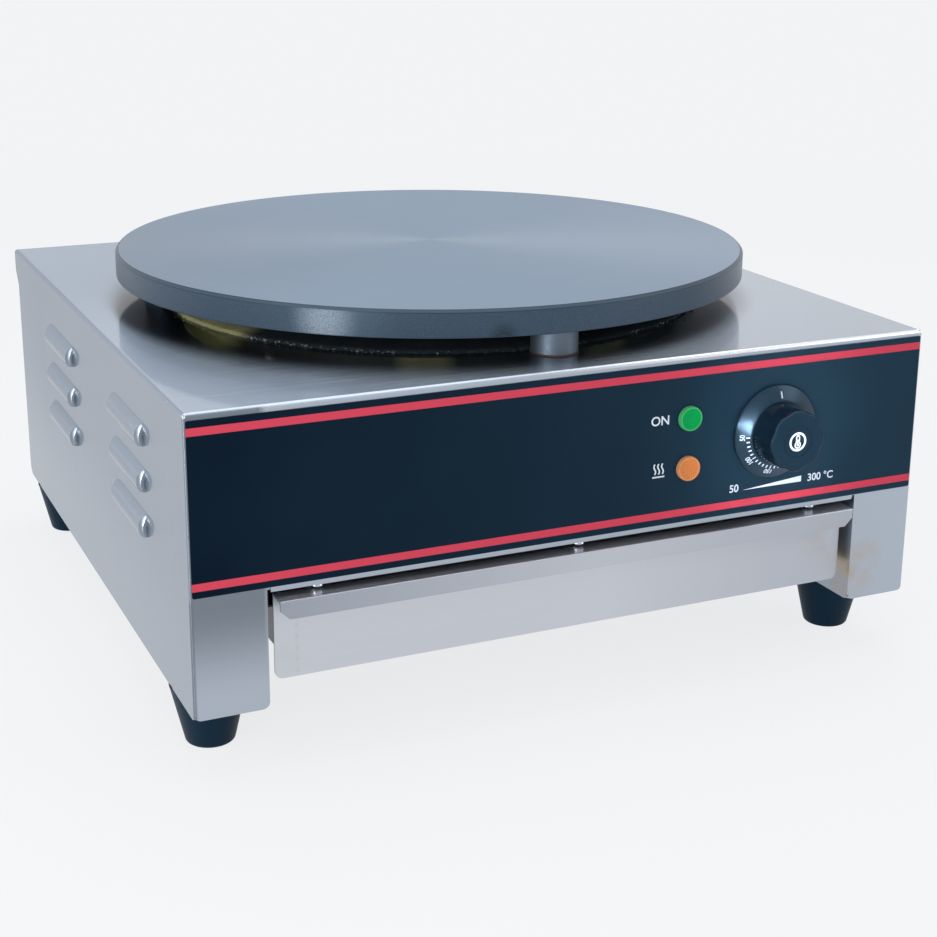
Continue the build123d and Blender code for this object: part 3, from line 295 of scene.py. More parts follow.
class Finish(Nodes):
    """A material in the making."""

    def __init__(self, name, base=None, roughness=0.5, metallic=0.0, specular=0.5):
        self.material = bpy.data.materials.new(name)
        self.material.use_nodes = True
        super().__init__(self.material.node_tree)
        self.shader = self.tree.nodes["Principled BSDF"]
        self.to("Roughness", roughness)
        self.to("Metallic", metallic)
        self.to("Specular IOR Level", specular)
        if base is not None:
            self.to("Base Color", base)
        self.place = self.add("TexCoord").outputs

    def to(self, name, value):
        self.feed(self.shader.inputs[name], value)

    def where(self):
        """The x, y and z of each place on the surface."""
        return self.split(self.place["Object"])

    def facing(self):
        """The x, y and z of the surface's normal."""
        return self.split(self.place["Normal"])

    def split(self, vector):
        node = self.add("SeparateXYZ")
        self.feed(node.inputs[0], vector)
        return node.outputs

    def join(self, x=0.0, y=0.0, z=0.0):
        node = self.add("CombineXYZ")
        for socket, value in zip(node.inputs, (x, y, z)):
            self.feed(socket, value)
        return node.outputs[0]

    def blend(self, factor, low, high):
        """A number between low and high."""
        node = self.add("Mix", data_type="FLOAT")
        self.feed(node.inputs[0], factor)
        self.feed(node.inputs[2], low)
        self.feed(node.inputs[3], high)
        return node.outputs[0]

    def tint(self, factor, low, high):
        """A colour between low and high."""
        node = self.add("Mix", data_type="RGBA")
        self.feed(node.inputs[0], factor)
        self.feed(node.inputs[6], low)
        self.feed(node.inputs[7], high)
        return node.outputs[2]

    def scaled(self, vector, scale):
        node = self.add("Mapping")
        self.feed(node.inputs["Vector"], vector)
        node.inputs["Scale"].default_value = scale
        return node.outputs[0]

    def grain(self, vector, scale=1.0, detail=2.0, roughness=0.5):
        node = self.add("TexNoise")
        self.feed(node.inputs["Vector"], vector)
        node.inputs["Scale"].default_value = scale
        node.inputs["Detail"].default_value = detail
        node.inputs["Roughness"].default_value = roughness
        return node.outputs[0]

    def mottle(self, scale, detail=2.0, roughness=0.5):
        """Soft blotches all over the surface."""
        return self.grain(self.place["Object"], scale, detail, roughness)

    def ranged(self, value, low, high, to_low=0.0, to_high=1.0, smooth=False):
        node = self.add("MapRange", interpolation_type="SMOOTHSTEP" if smooth else "LINEAR")
        for socket, part in zip(node.inputs, (value, low, high, to_low, to_high)):
            self.feed(socket, part)
        return node.outputs[0]

    def bump(self, height, depth, strength=1.0):
        """Adds relief of that depth, in metres, to the surface."""
        node = self.add("Bump")
        node.inputs["Strength"].default_value = strength
        node.inputs["Distance"].default_value = depth
        self.feed(node.inputs["Height"], height)
        before = self.shader.inputs["Normal"]
        if before.is_linked:
            self.feed(node.inputs["Normal"], before.links[0].from_socket)
        self.feed(before, node.outputs[0])

    def over(self, tone, *amounts):
        """Lays another colour over the base colour, by the product of the amounts."""
        before = self.shader.inputs["Base Color"].links[0].from_socket
        self.to("Base Color", self.tint(self.both(*amounts), before, tone))

    def distance(self, vector, place):
        node = self.add("VectorMath", operation="DISTANCE")
        self.feed(node.inputs[0], vector)
        node.inputs[1].default_value = place
        return node.outputs["Value"]

    def near(self, place, inner, outer):
        """One within the inner distance of a place, fading to nothing at the outer distance."""
        away = self.distance(self.place["Object"], place)
        return self.ranged(away, inner, outer, 1.0, 0.0, smooth=True)

    def rough(self, factor, low, high):
        """Roughness that drifts between low and high."""
        self.to("Roughness", self.ranged(factor, 0.3, 0.7, low, high))

    def shades(self, factor, base, dark=0.85, light=1.12):
        """A base colour that drifts a little darker and lighter."""
        low = [min(1.0, part * dark) for part in base]
        high = [min(1.0, part * light) for part in base]
        self.to("Base Color", self.tint(factor, low, high))


def sheet_grain(finish):
    """The places along and across the brushing, which runs over the top and down the sides."""
    x, y, z = finish.where()
    nx, ny, _ = finish.facing()
    sideways = finish.sum("ABSOLUTE", nx)
    forward = finish.sum("ABSOLUTE", ny)
    along = finish.blend(sideways, x, z)
    across = finish.blend(forward, y, z)
    return along, across, forward


def brushed_steel(name, sheet, look):
    """Stainless sheet with fine brushing."""
    finish = Finish(name, metallic=1.0)
    along, across, forward = sheet_grain(finish)
    surface = finish.join(along, across)
    streaks = finish.grain(finish.scaled(surface, (5, 330, 1)), detail=3.0)
    hairs = finish.grain(finish.scaled(surface, (60, 5200, 1)), detail=2.0)
    clouds = finish.mottle(scale=7.0, detail=2.0)
    wear = finish.blend(0.4, streaks, clouds)
    finish.shades(wear, sheet, dark=0.93, light=1.07)
    finish.to("Roughness", finish.ranged(wear, 0.25, 0.75, look.roughness * 0.85, look.roughness * 1.15))
    finish.to("Anisotropic", look.stretch)
    finish.to("Tangent", finish.join(0.0, finish.sum("SUBTRACT", 1.0, forward), forward))
    finish.to("Coat Weight", look.polish)
    finish.to("Coat Roughness", 0.07)
    finish.bump(hairs, 0.003 * MM, 0.5)
    finish.bump(clouds, 0.05 * MM, 0.25)
    return finish


def stain(finish, place, radius, strength, tone):
    """A blotch of straw heat tint."""
    blotch = finish.ranged(finish.mottle(scale=70.0, detail=4.0), 0.35, 0.65)
    finish.over(tone, finish.near(place, 0.0, radius), blotch, strength)


def casing_finish(look):
    """The casing's sheet: painted light in front, painted shade towards the rear and under the plate, painted
    reflections on the left leg and corner, a painted highlight on the front fold.
    """
    finish = brushed_steel("brushed_steel", look.sheet, look)
    x, y, z = finish.where()
    nx, ny, nz = finish.facing()
    top = finish.ranged(nz, 0.5, 0.9)
    front = finish.ranged(ny, -0.5, -0.9)
    flank = finish.ranged(finish.sum("ABSOLUTE", nx), 0.5, 0.9)
    # Painted light: the top lighter towards the right.
    rightward = finish.ranged(x, -100 * MM, CASING_HIGH.x, 0.1, 0.55, smooth=True)
    finish.over(look.sheet_painted_light, top, rightward)
    # Painted shade: the top darker towards the left and the rear.
    leftward = finish.ranged(x, -40 * MM, -170 * MM, smooth=True)
    rearward = finish.ranged(y, -150 * MM, 120 * MM, 0.2, 0.64, smooth=True)
    finish.over(look.sheet_painted_shade, top, leftward, rearward)
    # Painted shade: the sides darker higher up and towards the rear.
    high = finish.ranged(z, CASING_LOW.z + 15 * MM, CASING_HIGH.z - 60 * MM, 0.25, 1.0, smooth=True)
    back = finish.ranged(y, CASING_LOW.y, 150 * MM, 0.22, 0.82)
    finish.over(look.sheet_painted_shade, flank, high, back)
    # Painted light: the front lighter, more so to the left.
    across = finish.ranged(x, CASING_LOW.x, -CASING_LOW.x, 0.62, 0.44)
    finish.over(look.sheet_painted_light, front, across)
    # Painted reflection: the left leg's front darker higher up.
    left_leg = finish.ranged(x, DRAWER_LOW.x - 3 * MM, DRAWER_LOW.x - 7 * MM)
    upward = finish.ranged(z, CASING_LOW.z + 8 * MM, FILM_LOW.z - 6 * MM, smooth=True)
    finish.over(look.sheet_dark_reflection, front, left_leg, upward, 0.88)
    # Painted highlight along the top's front fold, stronger to the right.
    fold = finish.both(finish.ranged(nz, 0.15, 0.4), finish.ranged(ny, -0.15, -0.4))
    finish.over(look.fold_highlight, fold, finish.ranged(x, -30 * MM, 70 * MM, 0.0, 0.85))
    # Painted reflection: a dark line along the left front corner's bend, below the film.
    corner = finish.distance(finish.join(x, y), (PANEL_LEFT, CASING_LOW.y, 0.0))
    bend = finish.ranged(corner, 0.9 * MM, 2.4 * MM, 1.0, 0.0, smooth=True)
    below_film = finish.ranged(z, FILM_LOW.z, FILM_LOW.z - 4 * MM)
    finish.over(look.sheet_dark_reflection, bend, below_film, 0.8)
    # Painted shade on the top under the plate.
    from_plate = finish.distance(finish.join(x, y), (PLATE_CENTRE.x, PLATE_CENTRE.y, 0.0))
    under_plate = finish.ranged(from_plate, PLATE_RADIUS + 12 * MM, PLATE_RADIUS - 14 * MM, smooth=True)
    finish.over(look.under_plate_shade, top, under_plate, 0.9)
    leg = (DRAWER_HIGH.x + 5 * MM, CASING_LOW.y + 14 * MM, 56 * MM)
    stain(finish, leg, 34 * MM, 1.0, look.heat_tint)
    return finish


def drawer_finish(look):
    """The drawer front's sheet: painted shade on the lip and right end, straw tint and faint spot welds."""
    finish = brushed_steel("drawer_steel", look.drawer, look)
    x, y, z = finish.where()
    # Painted shade on the lip, darker to the left.
    lip = finish.ranged(y, DRAWER_LOW.y + 1.5 * MM, DRAWER_LOW.y + 0.9 * MM)
    leftward = finish.ranged(x, 0.0, DRAWER_LOW.x, 0.2, 0.76)
    finish.over(look.drawer_shade_and_welds, lip, leftward)
    # Painted shade towards the right end.
    finish.over(look.drawer_shade_and_welds, finish.ranged(x, 20 * MM, DRAWER_HIGH.x, 0.0, 0.47))
    line = finish.sum("ABSOLUTE", finish.sum("SUBTRACT", x, DRAWER_LOW.x + look.weld_inset))
    rows = finish.sum("PINGPONG", finish.sum("SUBTRACT", z, DRAWER_LOW.z), look.weld_pitch / 2)
    from_row = finish.sum("SUBTRACT", rows, look.weld_pitch / 4)
    spot = finish.ranged(finish.hypot(line, from_row), 0.3 * MM, 1.6 * MM, 1.0, 0.0, smooth=True)
    seam = finish.ranged(line, 0.2 * MM, 0.9 * MM, 0.35, 0.0, smooth=True)
    finish.over(look.drawer_shade_and_welds, finish.sum("MAXIMUM", spot, seam), 0.14)
    finish.bump(spot, 0.03 * MM, 0.5)
    stain(finish, (DRAWER_HIGH.x - 6 * MM, DRAWER_LOW.y, 74 * MM), 30 * MM, 0.5, look.heat_tint)
    stain(finish, (DRAWER_LOW.x + 4 * MM, DRAWER_LOW.y, 60 * MM), 22 * MM, 0.2, look.heat_tint)
    return finish


def moulded(name, base, roughness, specular=0.5, sheen_tone=(1, 1, 1), texture=900.0, depth=0.01):
    """Moulded plastic or rubber with a fine skin. Depth is in millimetres."""
    finish = Finish(name, specular=specular)
    finish.to("Specular Tint", sheen_tone)
    skin = finish.mottle(scale=texture, detail=2.0)
    haze = finish.mottle(scale=35.0, detail=3.0)
    finish.shades(haze, base)
    finish.rough(haze, roughness * 0.9, roughness * 1.1)
    finish.bump(skin, depth * MM, 0.6)
    return finish


def plated(name, base, roughness=0.3, scale=260.0):
    """Plated or drawn metal with a slightly uneven skin."""
    finish = Finish(name, metallic=1.0)
    skin = finish.mottle(scale=scale, detail=3.0)
    finish.shades(skin, base, dark=0.8, light=1.15)
    finish.rough(skin, roughness * 0.8, roughness * 1.25)
    finish.bump(skin, 0.01 * MM, 0.5)
    return finish


def enamelled(base):
    """Dark enamel, dark enough to stand as painted shade in the gap beside the drawer front, with a fine pale
    speckle and a slight orange peel.
    """
    finish = Finish("dark_enamel", roughness=0.3)
    speckle = finish.mottle(scale=1400.0, detail=1.0)
    peel = finish.mottle(scale=220.0, detail=1.0)
    finish.shades(peel, base)
    finish.over([part * 5 for part in base], finish.ranged(speckle, 0.68, 0.74))
    finish.bump(peel, 0.01 * MM, 0.5)
    return finish


def dress(finish, *nodes):
    """Gives CAD nodes a finish."""
    for node in nodes:
        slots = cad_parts[node].material_slots
        if not slots:
            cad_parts[node].data.materials.append(finish.material)
        for slot in slots:
            slot.material = finish.material


# ---------------------------------------------------------------- mesh helpers
def mesh_from(name, form, sharp=35.0):
    """Turns a bmesh into a smooth mesh that keeps its sharp edges."""
    bmesh.ops.recalc_face_normals(form, faces=form.faces)
    mesh = bpy.data.meshes.new(name)
    form.to_mesh(mesh)
    form.free()
    mesh.shade_smooth()
    mesh.set_sharp_from_angle(angle=math.radians(sharp))
    return mesh


def add_piece(mesh, body, slot, finish, *stands_for):
    """Makes a piece of a mesh, with the mesh's name."""
    piece = bpy.data.objects.new(mesh.name, mesh)
    bpy.context.scene.collection.objects.link(piece)
    mesh.materials.append(finish.material)
    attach(piece, body)
    if stands_for:
        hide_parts(*stands_for)
    return piece


def bridge(form, rings):
    """Joins each ring of points to the next with faces."""
    for low, high in zip(rings, rings[1:]):
        for k in range(len(low)):
            n = (k + 1) % len(low)
            form.faces.new((low[k], low[n], high[n], high[k]))


def rounded(corners, steps=5):
    """A profile from (radius, height, rounding) corners, with each corner rounded off."""
    points = []
    last = len(corners) - 1
    for k, (r, h, bend) in enumerate(corners):
        corner = Vector((r, h))
        if bend <= 0 or k in (0, last):
            points.append(corner)
            continue
        start = corner + (Vector(corners[k - 1][:2]) - corner).normalized() * bend
        end = corner + (Vector(corners[k + 1][:2]) - corner).normalized() * bend
        for i in range(steps + 1):
            t = i / steps
            points.append(start * (1 - t) ** 2 + corner * 2 * t * (1 - t) + end * t ** 2)
    return points


def turned(name, corners, place, axis="Z", steps=192, sharp=35.0):
    """A mesh turned about an axis, from (radius, height, rounding) corners."""
    form = bmesh.new()
    ring = [form.verts.new((p.x, 0.0, p.y)) for p in rounded(corners)]
    edges = [form.edges.new(pair) for pair in zip(ring, ring[1:])]
    bmesh.ops.spin(form, geom=ring + edges, cent=(0, 0, 0), axis=(0, 0, 1), angle=2 * math.pi,
                   steps=steps, use_merge=True)
    bmesh.ops.remove_doubles(form, verts=form.verts, dist=1e-7)
    if axis == "Y":
        bmesh.ops.rotate(form, verts=form.verts, cent=(0, 0, 0), matrix=Matrix.Rotation(math.pi / 2, 3, "X"))
    bmesh.ops.translate(form, verts=form.verts, vec=place)
    return mesh_from(name, form, sharp)


# ---------------------------------------------------------------- printed marks
# A flat shape is (points, faces) with points (right, up), in metres.
def words(text, height):
    """The flat shape of a line of text whose capitals have that height, centred on zero."""
    curve = bpy.data.curves.new("words", "FONT")
    curve.body = text
    curve.align_x = "CENTER"
    curve.size = height / CAPITAL
    curve.offset = height * 0.018
    holder = bpy.data.objects.new("words", curve)
    bpy.context.scene.collection.objects.link(holder)
    graph = bpy.context.evaluated_depsgraph_get()
    mesh = bpy.data.meshes.new_from_object(holder.evaluated_get(graph))
    points = [(v.co.x, v.co.y - height / 2) for v in mesh.vertices]
    faces = [tuple(p.vertices) for p in mesh.polygons]
    bpy.data.objects.remove(holder)
    bpy.data.meshes.remove(mesh)
    return points, faces


def stroke(path, width, closed=False):
    """The flat shape of a line of even width along a path."""
    count = len(path)
    points = []
    for k, here in enumerate(path):
        before = path[k - 1] if k or closed else here
        after = path[(k + 1) % count] if k < count - 1 or closed else here
        run = (Vector(after) - Vector(before)).normalized()
        side = Vector((-run.y, run.x)) * width / 2
        points += [tuple(Vector(here) + side), tuple(Vector(here) - side)]
    spans = count if closed else count - 1
    faces = []
    for k in range(spans):
        a, b = 2 * k, 2 * ((k + 1) % count)
        faces.append((a, a + 1, b + 1, b))
    return points, faces


def circle(radius, steps=48, start=0.0, turn=2 * math.pi, centre=(0.0, 0.0)):
    """Points round a circle, or along an arc of it."""
    full = abs(turn - 2 * math.pi) < 1e-6
    spans = steps if full else steps - 1
    return [(centre[0] + radius * math.cos(start + turn * k / spans),
             centre[1] + radius * math.sin(start + turn * k / spans)) for k in range(steps)]


def disc(radius, centre=(0.0, 0.0)):
    points = circle(radius, centre=centre)
    return points, [tuple(range(len(points)))]


def moved(shape, right, up, turn=0.0):
    """A flat shape turned about zero and then moved."""
    points, faces = shape
    c, s = math.cos(turn), math.sin(turn)
    return [(right + u * c - v * s, up + u * s + v * c) for u, v in points], faces


def printed(name, shapes, surface, ink):
    """A thin mesh of flat shapes that lies on a front surface. Surface gives y from x and z."""
    form = bmesh.new()
    for points, faces in shapes:
        verts = [form.verts.new((u, surface(u, v), v)) for u, v in points]
        for face in faces:
            form.faces.new([verts[k] for k in face])
    front = list(form.faces)
    made = bmesh.ops.extrude_face_region(form, geom=front)
    lifted = [g for g in made["geom"] if isinstance(g, bmesh.types.BMVert)]
    bmesh.ops.translate(form, verts=lifted, vec=(0, -ink, 0))
    return mesh_from(name, form, 30.0)


# ---------------------------------------------------------------- pieces
def make_weld_bead(name, place, size):
    """The small lump of weld that closes a top front corner."""
    form = bmesh.new()
    bmesh.ops.create_icosphere(form, subdivisions=4, radius=size)
    for vert in form.verts:
        swell = 1 + 0.25 * noise.noise(vert.co / size * 1.5)
        vert.co = Vector((vert.co.x, vert.co.y, vert.co.z * 1.15)) * swell
    bmesh.ops.translate(form, verts=form.verts, vec=place)
    return mesh_from(name, form, 60.0)


class CREPEMAKER_OT_sheets(bpy.types.Operator):
    """Give the casing, drawer and other sheets their brushed steel"""

    bl_idname = "crepe_maker.sheets"
    bl_label = "Steel Sheets"

    def execute(self, context):
        look = context.scene.crepe_maker_steel
        dress(casing_finish(look), "outer_casing")
        dress(brushed_steel("plain_steel", look.sheet, look), "back_panel", "bay_floor",
              "drawer_runner_left", "drawer_runner_right")
        dress(enamelled(look.enamel), "drawer_tray")
        dress(drawer_finish(look), "drawer_front")
        bead = plated("weld_bead", look.drawer, roughness=0.16)
        for side, x in (("left", PANEL_LEFT), ("right", -PANEL_LEFT)):
            inward = math.copysign(look.bead, -x)
            corner = Vector((x + inward, CASING_LOW.y + look.bead, CASING_HIGH.z - look.bead * 1.2))
            mesh = make_weld_bead("corner_weld_" + side, corner, look.bead)
            add_piece(mesh, "casing", "casing_steel", bead)
        return {"FINISHED"}


def film_finish(look):
    """The satin film: near black, with a red stripe inside each long edge."""
    finish = Finish("fascia_film", specular=0.06)
    finish.to("Specular Tint", COOL)
    x, _, z = finish.where()
    middle = (FILM_LOW.z + FILM_HIGH.z) / 2
    half = (FILM_HIGH.z - FILM_LOW.z) / 2
    from_middle = finish.sum("ABSOLUTE", finish.sum("SUBTRACT", z, middle))
    stripe_middle = half - look.stripe_inset - look.stripe_width / 2
    stripe = finish.sum("COMPARE", from_middle, stripe_middle, look.stripe_width / 2)
    drift = finish.mottle(scale=9.0, detail=3.0)
    rightward = finish.ranged(x, FILM_LOW.x, FILM_HIGH.x)
    uneven = finish.sum("ADD", rightward, finish.ranged(drift, 0.3, 0.7, -0.08, 0.08))
    ground = finish.tint(uneven, look.ground, look.ground_end)
    finish.to("Base Color", finish.tint(stripe, ground, look.stripe))
    finish.rough(drift, 0.36, 0.46)
    velvet = finish.mottle(scale=2600.0, detail=1.0)
    finish.bump(velvet, 0.012 * MM, 0.5)
    return finish


def heat_waves(height):
    """Three wavy lines over a bar, the usual sign for heating."""
    shapes = [stroke([(-height * 0.5, -height * 0.5), (height * 0.5, -height * 0.5)], height * 0.11)]
    for right in (-0.32, 0.0, 0.32):
        path = []
        for k in range(17):
            t = k / 16
            path.append((height * (right + 0.075 * math.sin(t * 2 * math.pi)), height * (-0.3 + 0.8 * t)))
        shapes.append(stroke(path, height * 0.11))
    return shapes


def rising_wedge(width, height):
    """A long wedge that rises to the right, the usual sign for more heat."""
    return [(-width / 2, -height / 2), (width / 2, -height / 2), (width / 2, height / 2)], [(0, 1, 2)]


class CREPEMAKER_OT_fascia(bpy.types.Operator):
    """Finish the front film and print its plain marks"""

    bl_idname = "crepe_maker.fascia"
    bl_label = "Fascia"

    def execute(self, context):
        look = context.scene.crepe_maker_fascia
        dress(film_finish(look), "front_film")
        ink = moulded("print_ink", look.print_white, 0.5, texture=1500.0, depth=0.004)
        power_low, power_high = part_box("power_lamp_lens")
        heat_low, heat_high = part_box("heat_lamp_lens")
        power_z = (power_low.z + power_high.z) / 2
        heat_z = (heat_low.z + heat_high.z) / 2
        beside_lamps = power_low.x - 11.5 * MM
        marks = [moved(words("ON", look.letter_height), beside_lamps, power_z + 0.5 * MM)]
        for shape in heat_waves(look.letter_height * 1.5):
            marks.append(moved(shape, beside_lamps, heat_z + 0.8 * MM))
        below = SKIRT_LOW.z - 4.8 * MM
        middle = KNOB_CENTRE.x + 6 * MM
        marks.append(moved(words("50", look.scale_height), middle - 31 * MM, below))
        marks.append(moved(words("300 °C", look.scale_height), middle + 29 * MM, below))
        marks.append(moved(rising_wedge(40 * MM, look.scale_height * 0.8), middle - 4.5 * MM, below))
        mesh = printed("fascia_marks", marks, lambda x, z: FILM_FRONT, look.ink)
        add_piece(mesh, "casing", "fascia_film", ink)
        return {"FINISHED"}


def griddle_finish(look):
    """Machined and seasoned iron: fine turning marks round the middle, blue-grey drift, painted shade towards
    the rear left and on the underside, and a rubbed patch on the rim that is also a painted highlight.
    """
    finish = Finish("griddle_iron", specular=0.5)
    finish.to("Specular Tint", (0.6, 0.8, 1.0))
    x, y, z = finish.where()
    _, _, nz = finish.facing()
    dx = finish.sum("SUBTRACT", x, PLATE_CENTRE.x)
    dy = finish.sum("SUBTRACT", y, PLATE_CENTRE.y)
    radius = finish.hypot(dx, dy)
    turn = finish.sum("ARCTAN2", dy, dx)
    flat = finish.sum("ABSOLUTE", nz)
    reach = finish.blend(flat, z, radius)
    marks = finish.grain(finish.scaled(finish.join(reach, turn), (1 / look.groove_pitch, 0.9, 1)), detail=2.0)
    bands = finish.grain(finish.scaled(finish.join(reach, turn), (60, 0.6, 1)), detail=3.0)
    stains = finish.mottle(scale=6.5, detail=4.0)
    drift = finish.blend(0.6, bands, stains)
    finish.shades(drift, look.rim, dark=0.88, light=1.12)
    grit = finish.mottle(scale=1100.0, detail=3.0, roughness=0.7)
    rough_edge = finish.ranged(flat, 0.5, 0.1)
    finish.over(look.face, finish.ranged(grit, 0.52, 0.72), rough_edge, 0.2)
    upward = finish.ranged(nz, 0.85, 0.97)
    face = finish.tint(drift, [part * 0.93 for part in look.face], [part * 1.07 for part in look.face])
    finish.over(face, upward)
    # Painted shade: the face darker towards the rear left.
    rear_left = finish.near((PLATE_LOW.x, PLATE_CENTRE.y + 60 * MM, PLATE_HIGH.z), 20 * MM, 230 * MM)
    finish.over(look.rim, upward, rear_left, 0.34)
    # Painted shade: the underside blackened.
    finish.over(look.soot_and_shade, finish.ranged(nz, -0.5, -0.9), 0.95)
    inner = finish.sum("COMPARE", radius, PLATE_RADIUS - look.chamfer, 0.4 * MM)
    outer = finish.sum("COMPARE", z, PLATE_HIGH.z - look.chamfer, 0.4 * MM)
    above = finish.sum("GREATER_THAN", z, PLATE_HIGH.z - 0.3 * MM)
    lines = finish.sum("MAXIMUM", finish.both(inner, above), finish.both(outer, rough_edge))
    finish.over(look.soot_and_shade, lines, 0.85)
    # A rubbed bare patch on the rim, which is also a painted highlight.
    around = math.radians(40)
    rubbed = finish.near((PLATE_CENTRE.x - PLATE_RADIUS * math.sin(around),
                          PLATE_CENTRE.y - PLATE_RADIUS * math.cos(around), PLATE_CENTRE.z), 3 * MM, 22 * MM)
    bare = finish.both(rubbed, rough_edge, finish.ranged(grit, 0.3, 0.6, 0.4, 1.0))
    finish.over(look.rubbed, bare)
    burnt = finish.near((PLATE_CENTRE.x - 40 * MM, PLATE_LOW.y + 6 * MM, PLATE_LOW.z), 3 * MM, 11 * MM)
    finish.over(look.soot_and_shade, burnt, rough_edge, finish.ranged(grit, 0.35, 0.5), 0.8)
    finish.rough(drift, look.roughness * 0.92, look.roughness * 1.08)
    finish.to("Anisotropic", 0.6)
    upright = finish.sum("SUBTRACT", 1.0, flat)
    finish.to("Tangent", finish.join(finish.both(dx, flat), finish.both(dy, flat), upright))
    finish.bump(marks, 0.004 * MM, 0.6)
    finish.bump(finish.both(grit, rough_edge), 0.03 * MM, 0.6)
    return finish


class CREPEMAKER_OT_griddle(bpy.types.Operator):
    """Turn the cast-iron plate with its bevelled edge"""

    bl_idname = "crepe_maker.griddle"
    bl_label = "Griddle Plate"

    def execute(self, context):
        look = context.scene.crepe_maker_griddle
        bottom, top = PLATE_LOW.z, PLATE_HIGH.z
        recess_top = bottom + look.recess_depth
        soft = 0.35 * MM
        corners = [(0, recess_top, 0), (look.recess_radius, recess_top, soft),
                   (look.recess_radius, bottom, soft), (PLATE_RADIUS, bottom, 2 * soft),
                   (PLATE_RADIUS, top - look.chamfer, soft),
                   (PLATE_RADIUS - look.chamfer, top, soft), (0, top, 0)]
        place = (PLATE_CENTRE.x, PLATE_CENTRE.y, 0)
        mesh = turned("griddle_plate_turned", corners, place, steps=320, sharp=60.0)
        add_piece(mesh, "casing", "plate_iron", griddle_finish(look), "griddle_plate")
        return {"FINISHED"}


def make_ragged_pad(look):
    """The insulation board, with a torn, uneven rim."""
    form = bmesh.new()
    radius = PAD_RADIUS - look.ragged
    height = PAD_HIGH.z - PAD_LOW.z
    steps = 720
    hidden, shoulder = 60 * MM, 1.2 * MM
    levels = ((hidden, 0.0), (0.0, 0.0), (0.0, 0.35), (0.3 * MM, 0.75), (shoulder, 1.0), (hidden, 1.0))
    rings = []
    for inset, level in levels:
        ring = []
        for k in range(steps):
            turn = 2 * math.pi * k / steps
            spot = Vector((math.cos(turn), math.sin(turn), level * 0.02)) * 40
            tear = noise.fractal(spot, 1.0, 2.0, 3)
            reach = radius - inset + (tear * look.ragged if inset < hidden else 0.0)
            x = PAD_CENTRE.x + reach * math.cos(turn)
            y = PAD_CENTRE.y + reach * math.sin(turn)
            z = PAD_LOW.z + height * level
            if 0 < level < 1 or inset == shoulder:
                z += 0.25 * MM * noise.noise(spot * 3)
            ring.append(form.verts.new((x, y, min(z, PAD_HIGH.z))))
        rings.append(ring)
    bridge(form, rings + rings[:1])
    return mesh_from("insulation_board", form, 60.0)


def make_crumbs(look):
    """Loose crumbs of insulation on the casing just outside the board."""
    draw = random.Random(7)
    squat = 0.6
    form = bmesh.new()
    for _ in range(look.crumbs):
        turn = draw.uniform(0, 2 * math.pi)
        away = PAD_RADIUS + abs(draw.gauss(0, 3.0)) * MM
        size = look.crumb * draw.uniform(0.35, 1.0)
        made = bmesh.ops.create_icosphere(form, subdivisions=1, radius=size)["verts"]
        x, y = away * math.cos(turn), PLATE_CENTRE.y + away * math.sin(turn)
        place = Vector((x, y, PAD_LOW.z + size * squat))
        for vert in made:
            vert.co = vert.co * (1 + 0.5 * noise.noise(vert.co / size + place * 1000))
            vert.co.z *= squat
            vert.co += place
    return mesh_from("insulation_crumbs", form, 60.0)


def fibre_finish(look):
    """Insulation board, darkened as painted shade, with pale flecks low on its torn rim and a khaki patch."""
    finish = Finish("insulation_fibre", specular=0.1, roughness=0.95)
    strands = finish.grain(finish.scaled(finish.place["Object"], (420, 420, 900)), detail=4.0, roughness=0.7)
    # Painted shade: the board starts from the dark fibre colour.
    finish.shades(strands, look.fibre_dark, dark=0.6, light=1.4)
    x, y, z = finish.where()
    away = finish.distance(finish.join(x, y), (PAD_CENTRE.x, PAD_CENTRE.y, 0.0))
    torn = finish.ranged(away, PAD_RADIUS - 2.6 * MM, PAD_RADIUS - 1.2 * MM, smooth=True)
    flecks = finish.ranged(strands, 0.54, 0.62, smooth=True)
    patches = finish.ranged(finish.mottle(scale=30.0, detail=2.0), 0.46, 0.56)
    # The board's own pale fibres show only low on the torn rim.
    low = finish.ranged(z, PAD_LOW.z + 1.9 * MM, PAD_LOW.z + 1.3 * MM)
    finish.over(look.fibre, torn, low, flecks, finish.blend(patches, 0.05, 0.6))
    patch = (-171 * MM, -58 * MM, PAD_LOW.z)
    tinted = finish.near(patch, 26 * MM, 46 * MM)
    uneven = finish.ranged(strands, 0.3, 0.7, 0.7, 1.0)
    finish.over(look.patch_tone, tinted, uneven)
    finish.bump(strands, 0.2 * MM, 0.9)
    return finish


def pan_finish(look):
    """The yellow-passivated pan, darkened all over as painted shade except for three patches on its wall."""
    finish = plated("yellow_passivated", look.passivation_lit, roughness=0.5, scale=40.0)
    finish.to("Metallic", 0.2)
    khaki_share = 0.04
    # The place and reach of each patch in millimetres, and how much of the pan's own colour it shows
    patches = (((-150, -14, 212), 48, 1.0), ((-62, -145, 212), 22, 0.5), ((55, -149, 212), 24, 0.4))
    for place, reach, amount in patches:
        patch = finish.near(Vector(place) * MM, reach * 0.4 * MM, reach * MM)
        khaki_share = finish.sum("MAXIMUM", khaki_share, finish.both(patch, amount))
    # Painted shade over the rest of the pan.
    finish.over(look.shaded, finish.sum("SUBTRACT", 1.0, khaki_share))
    return finish


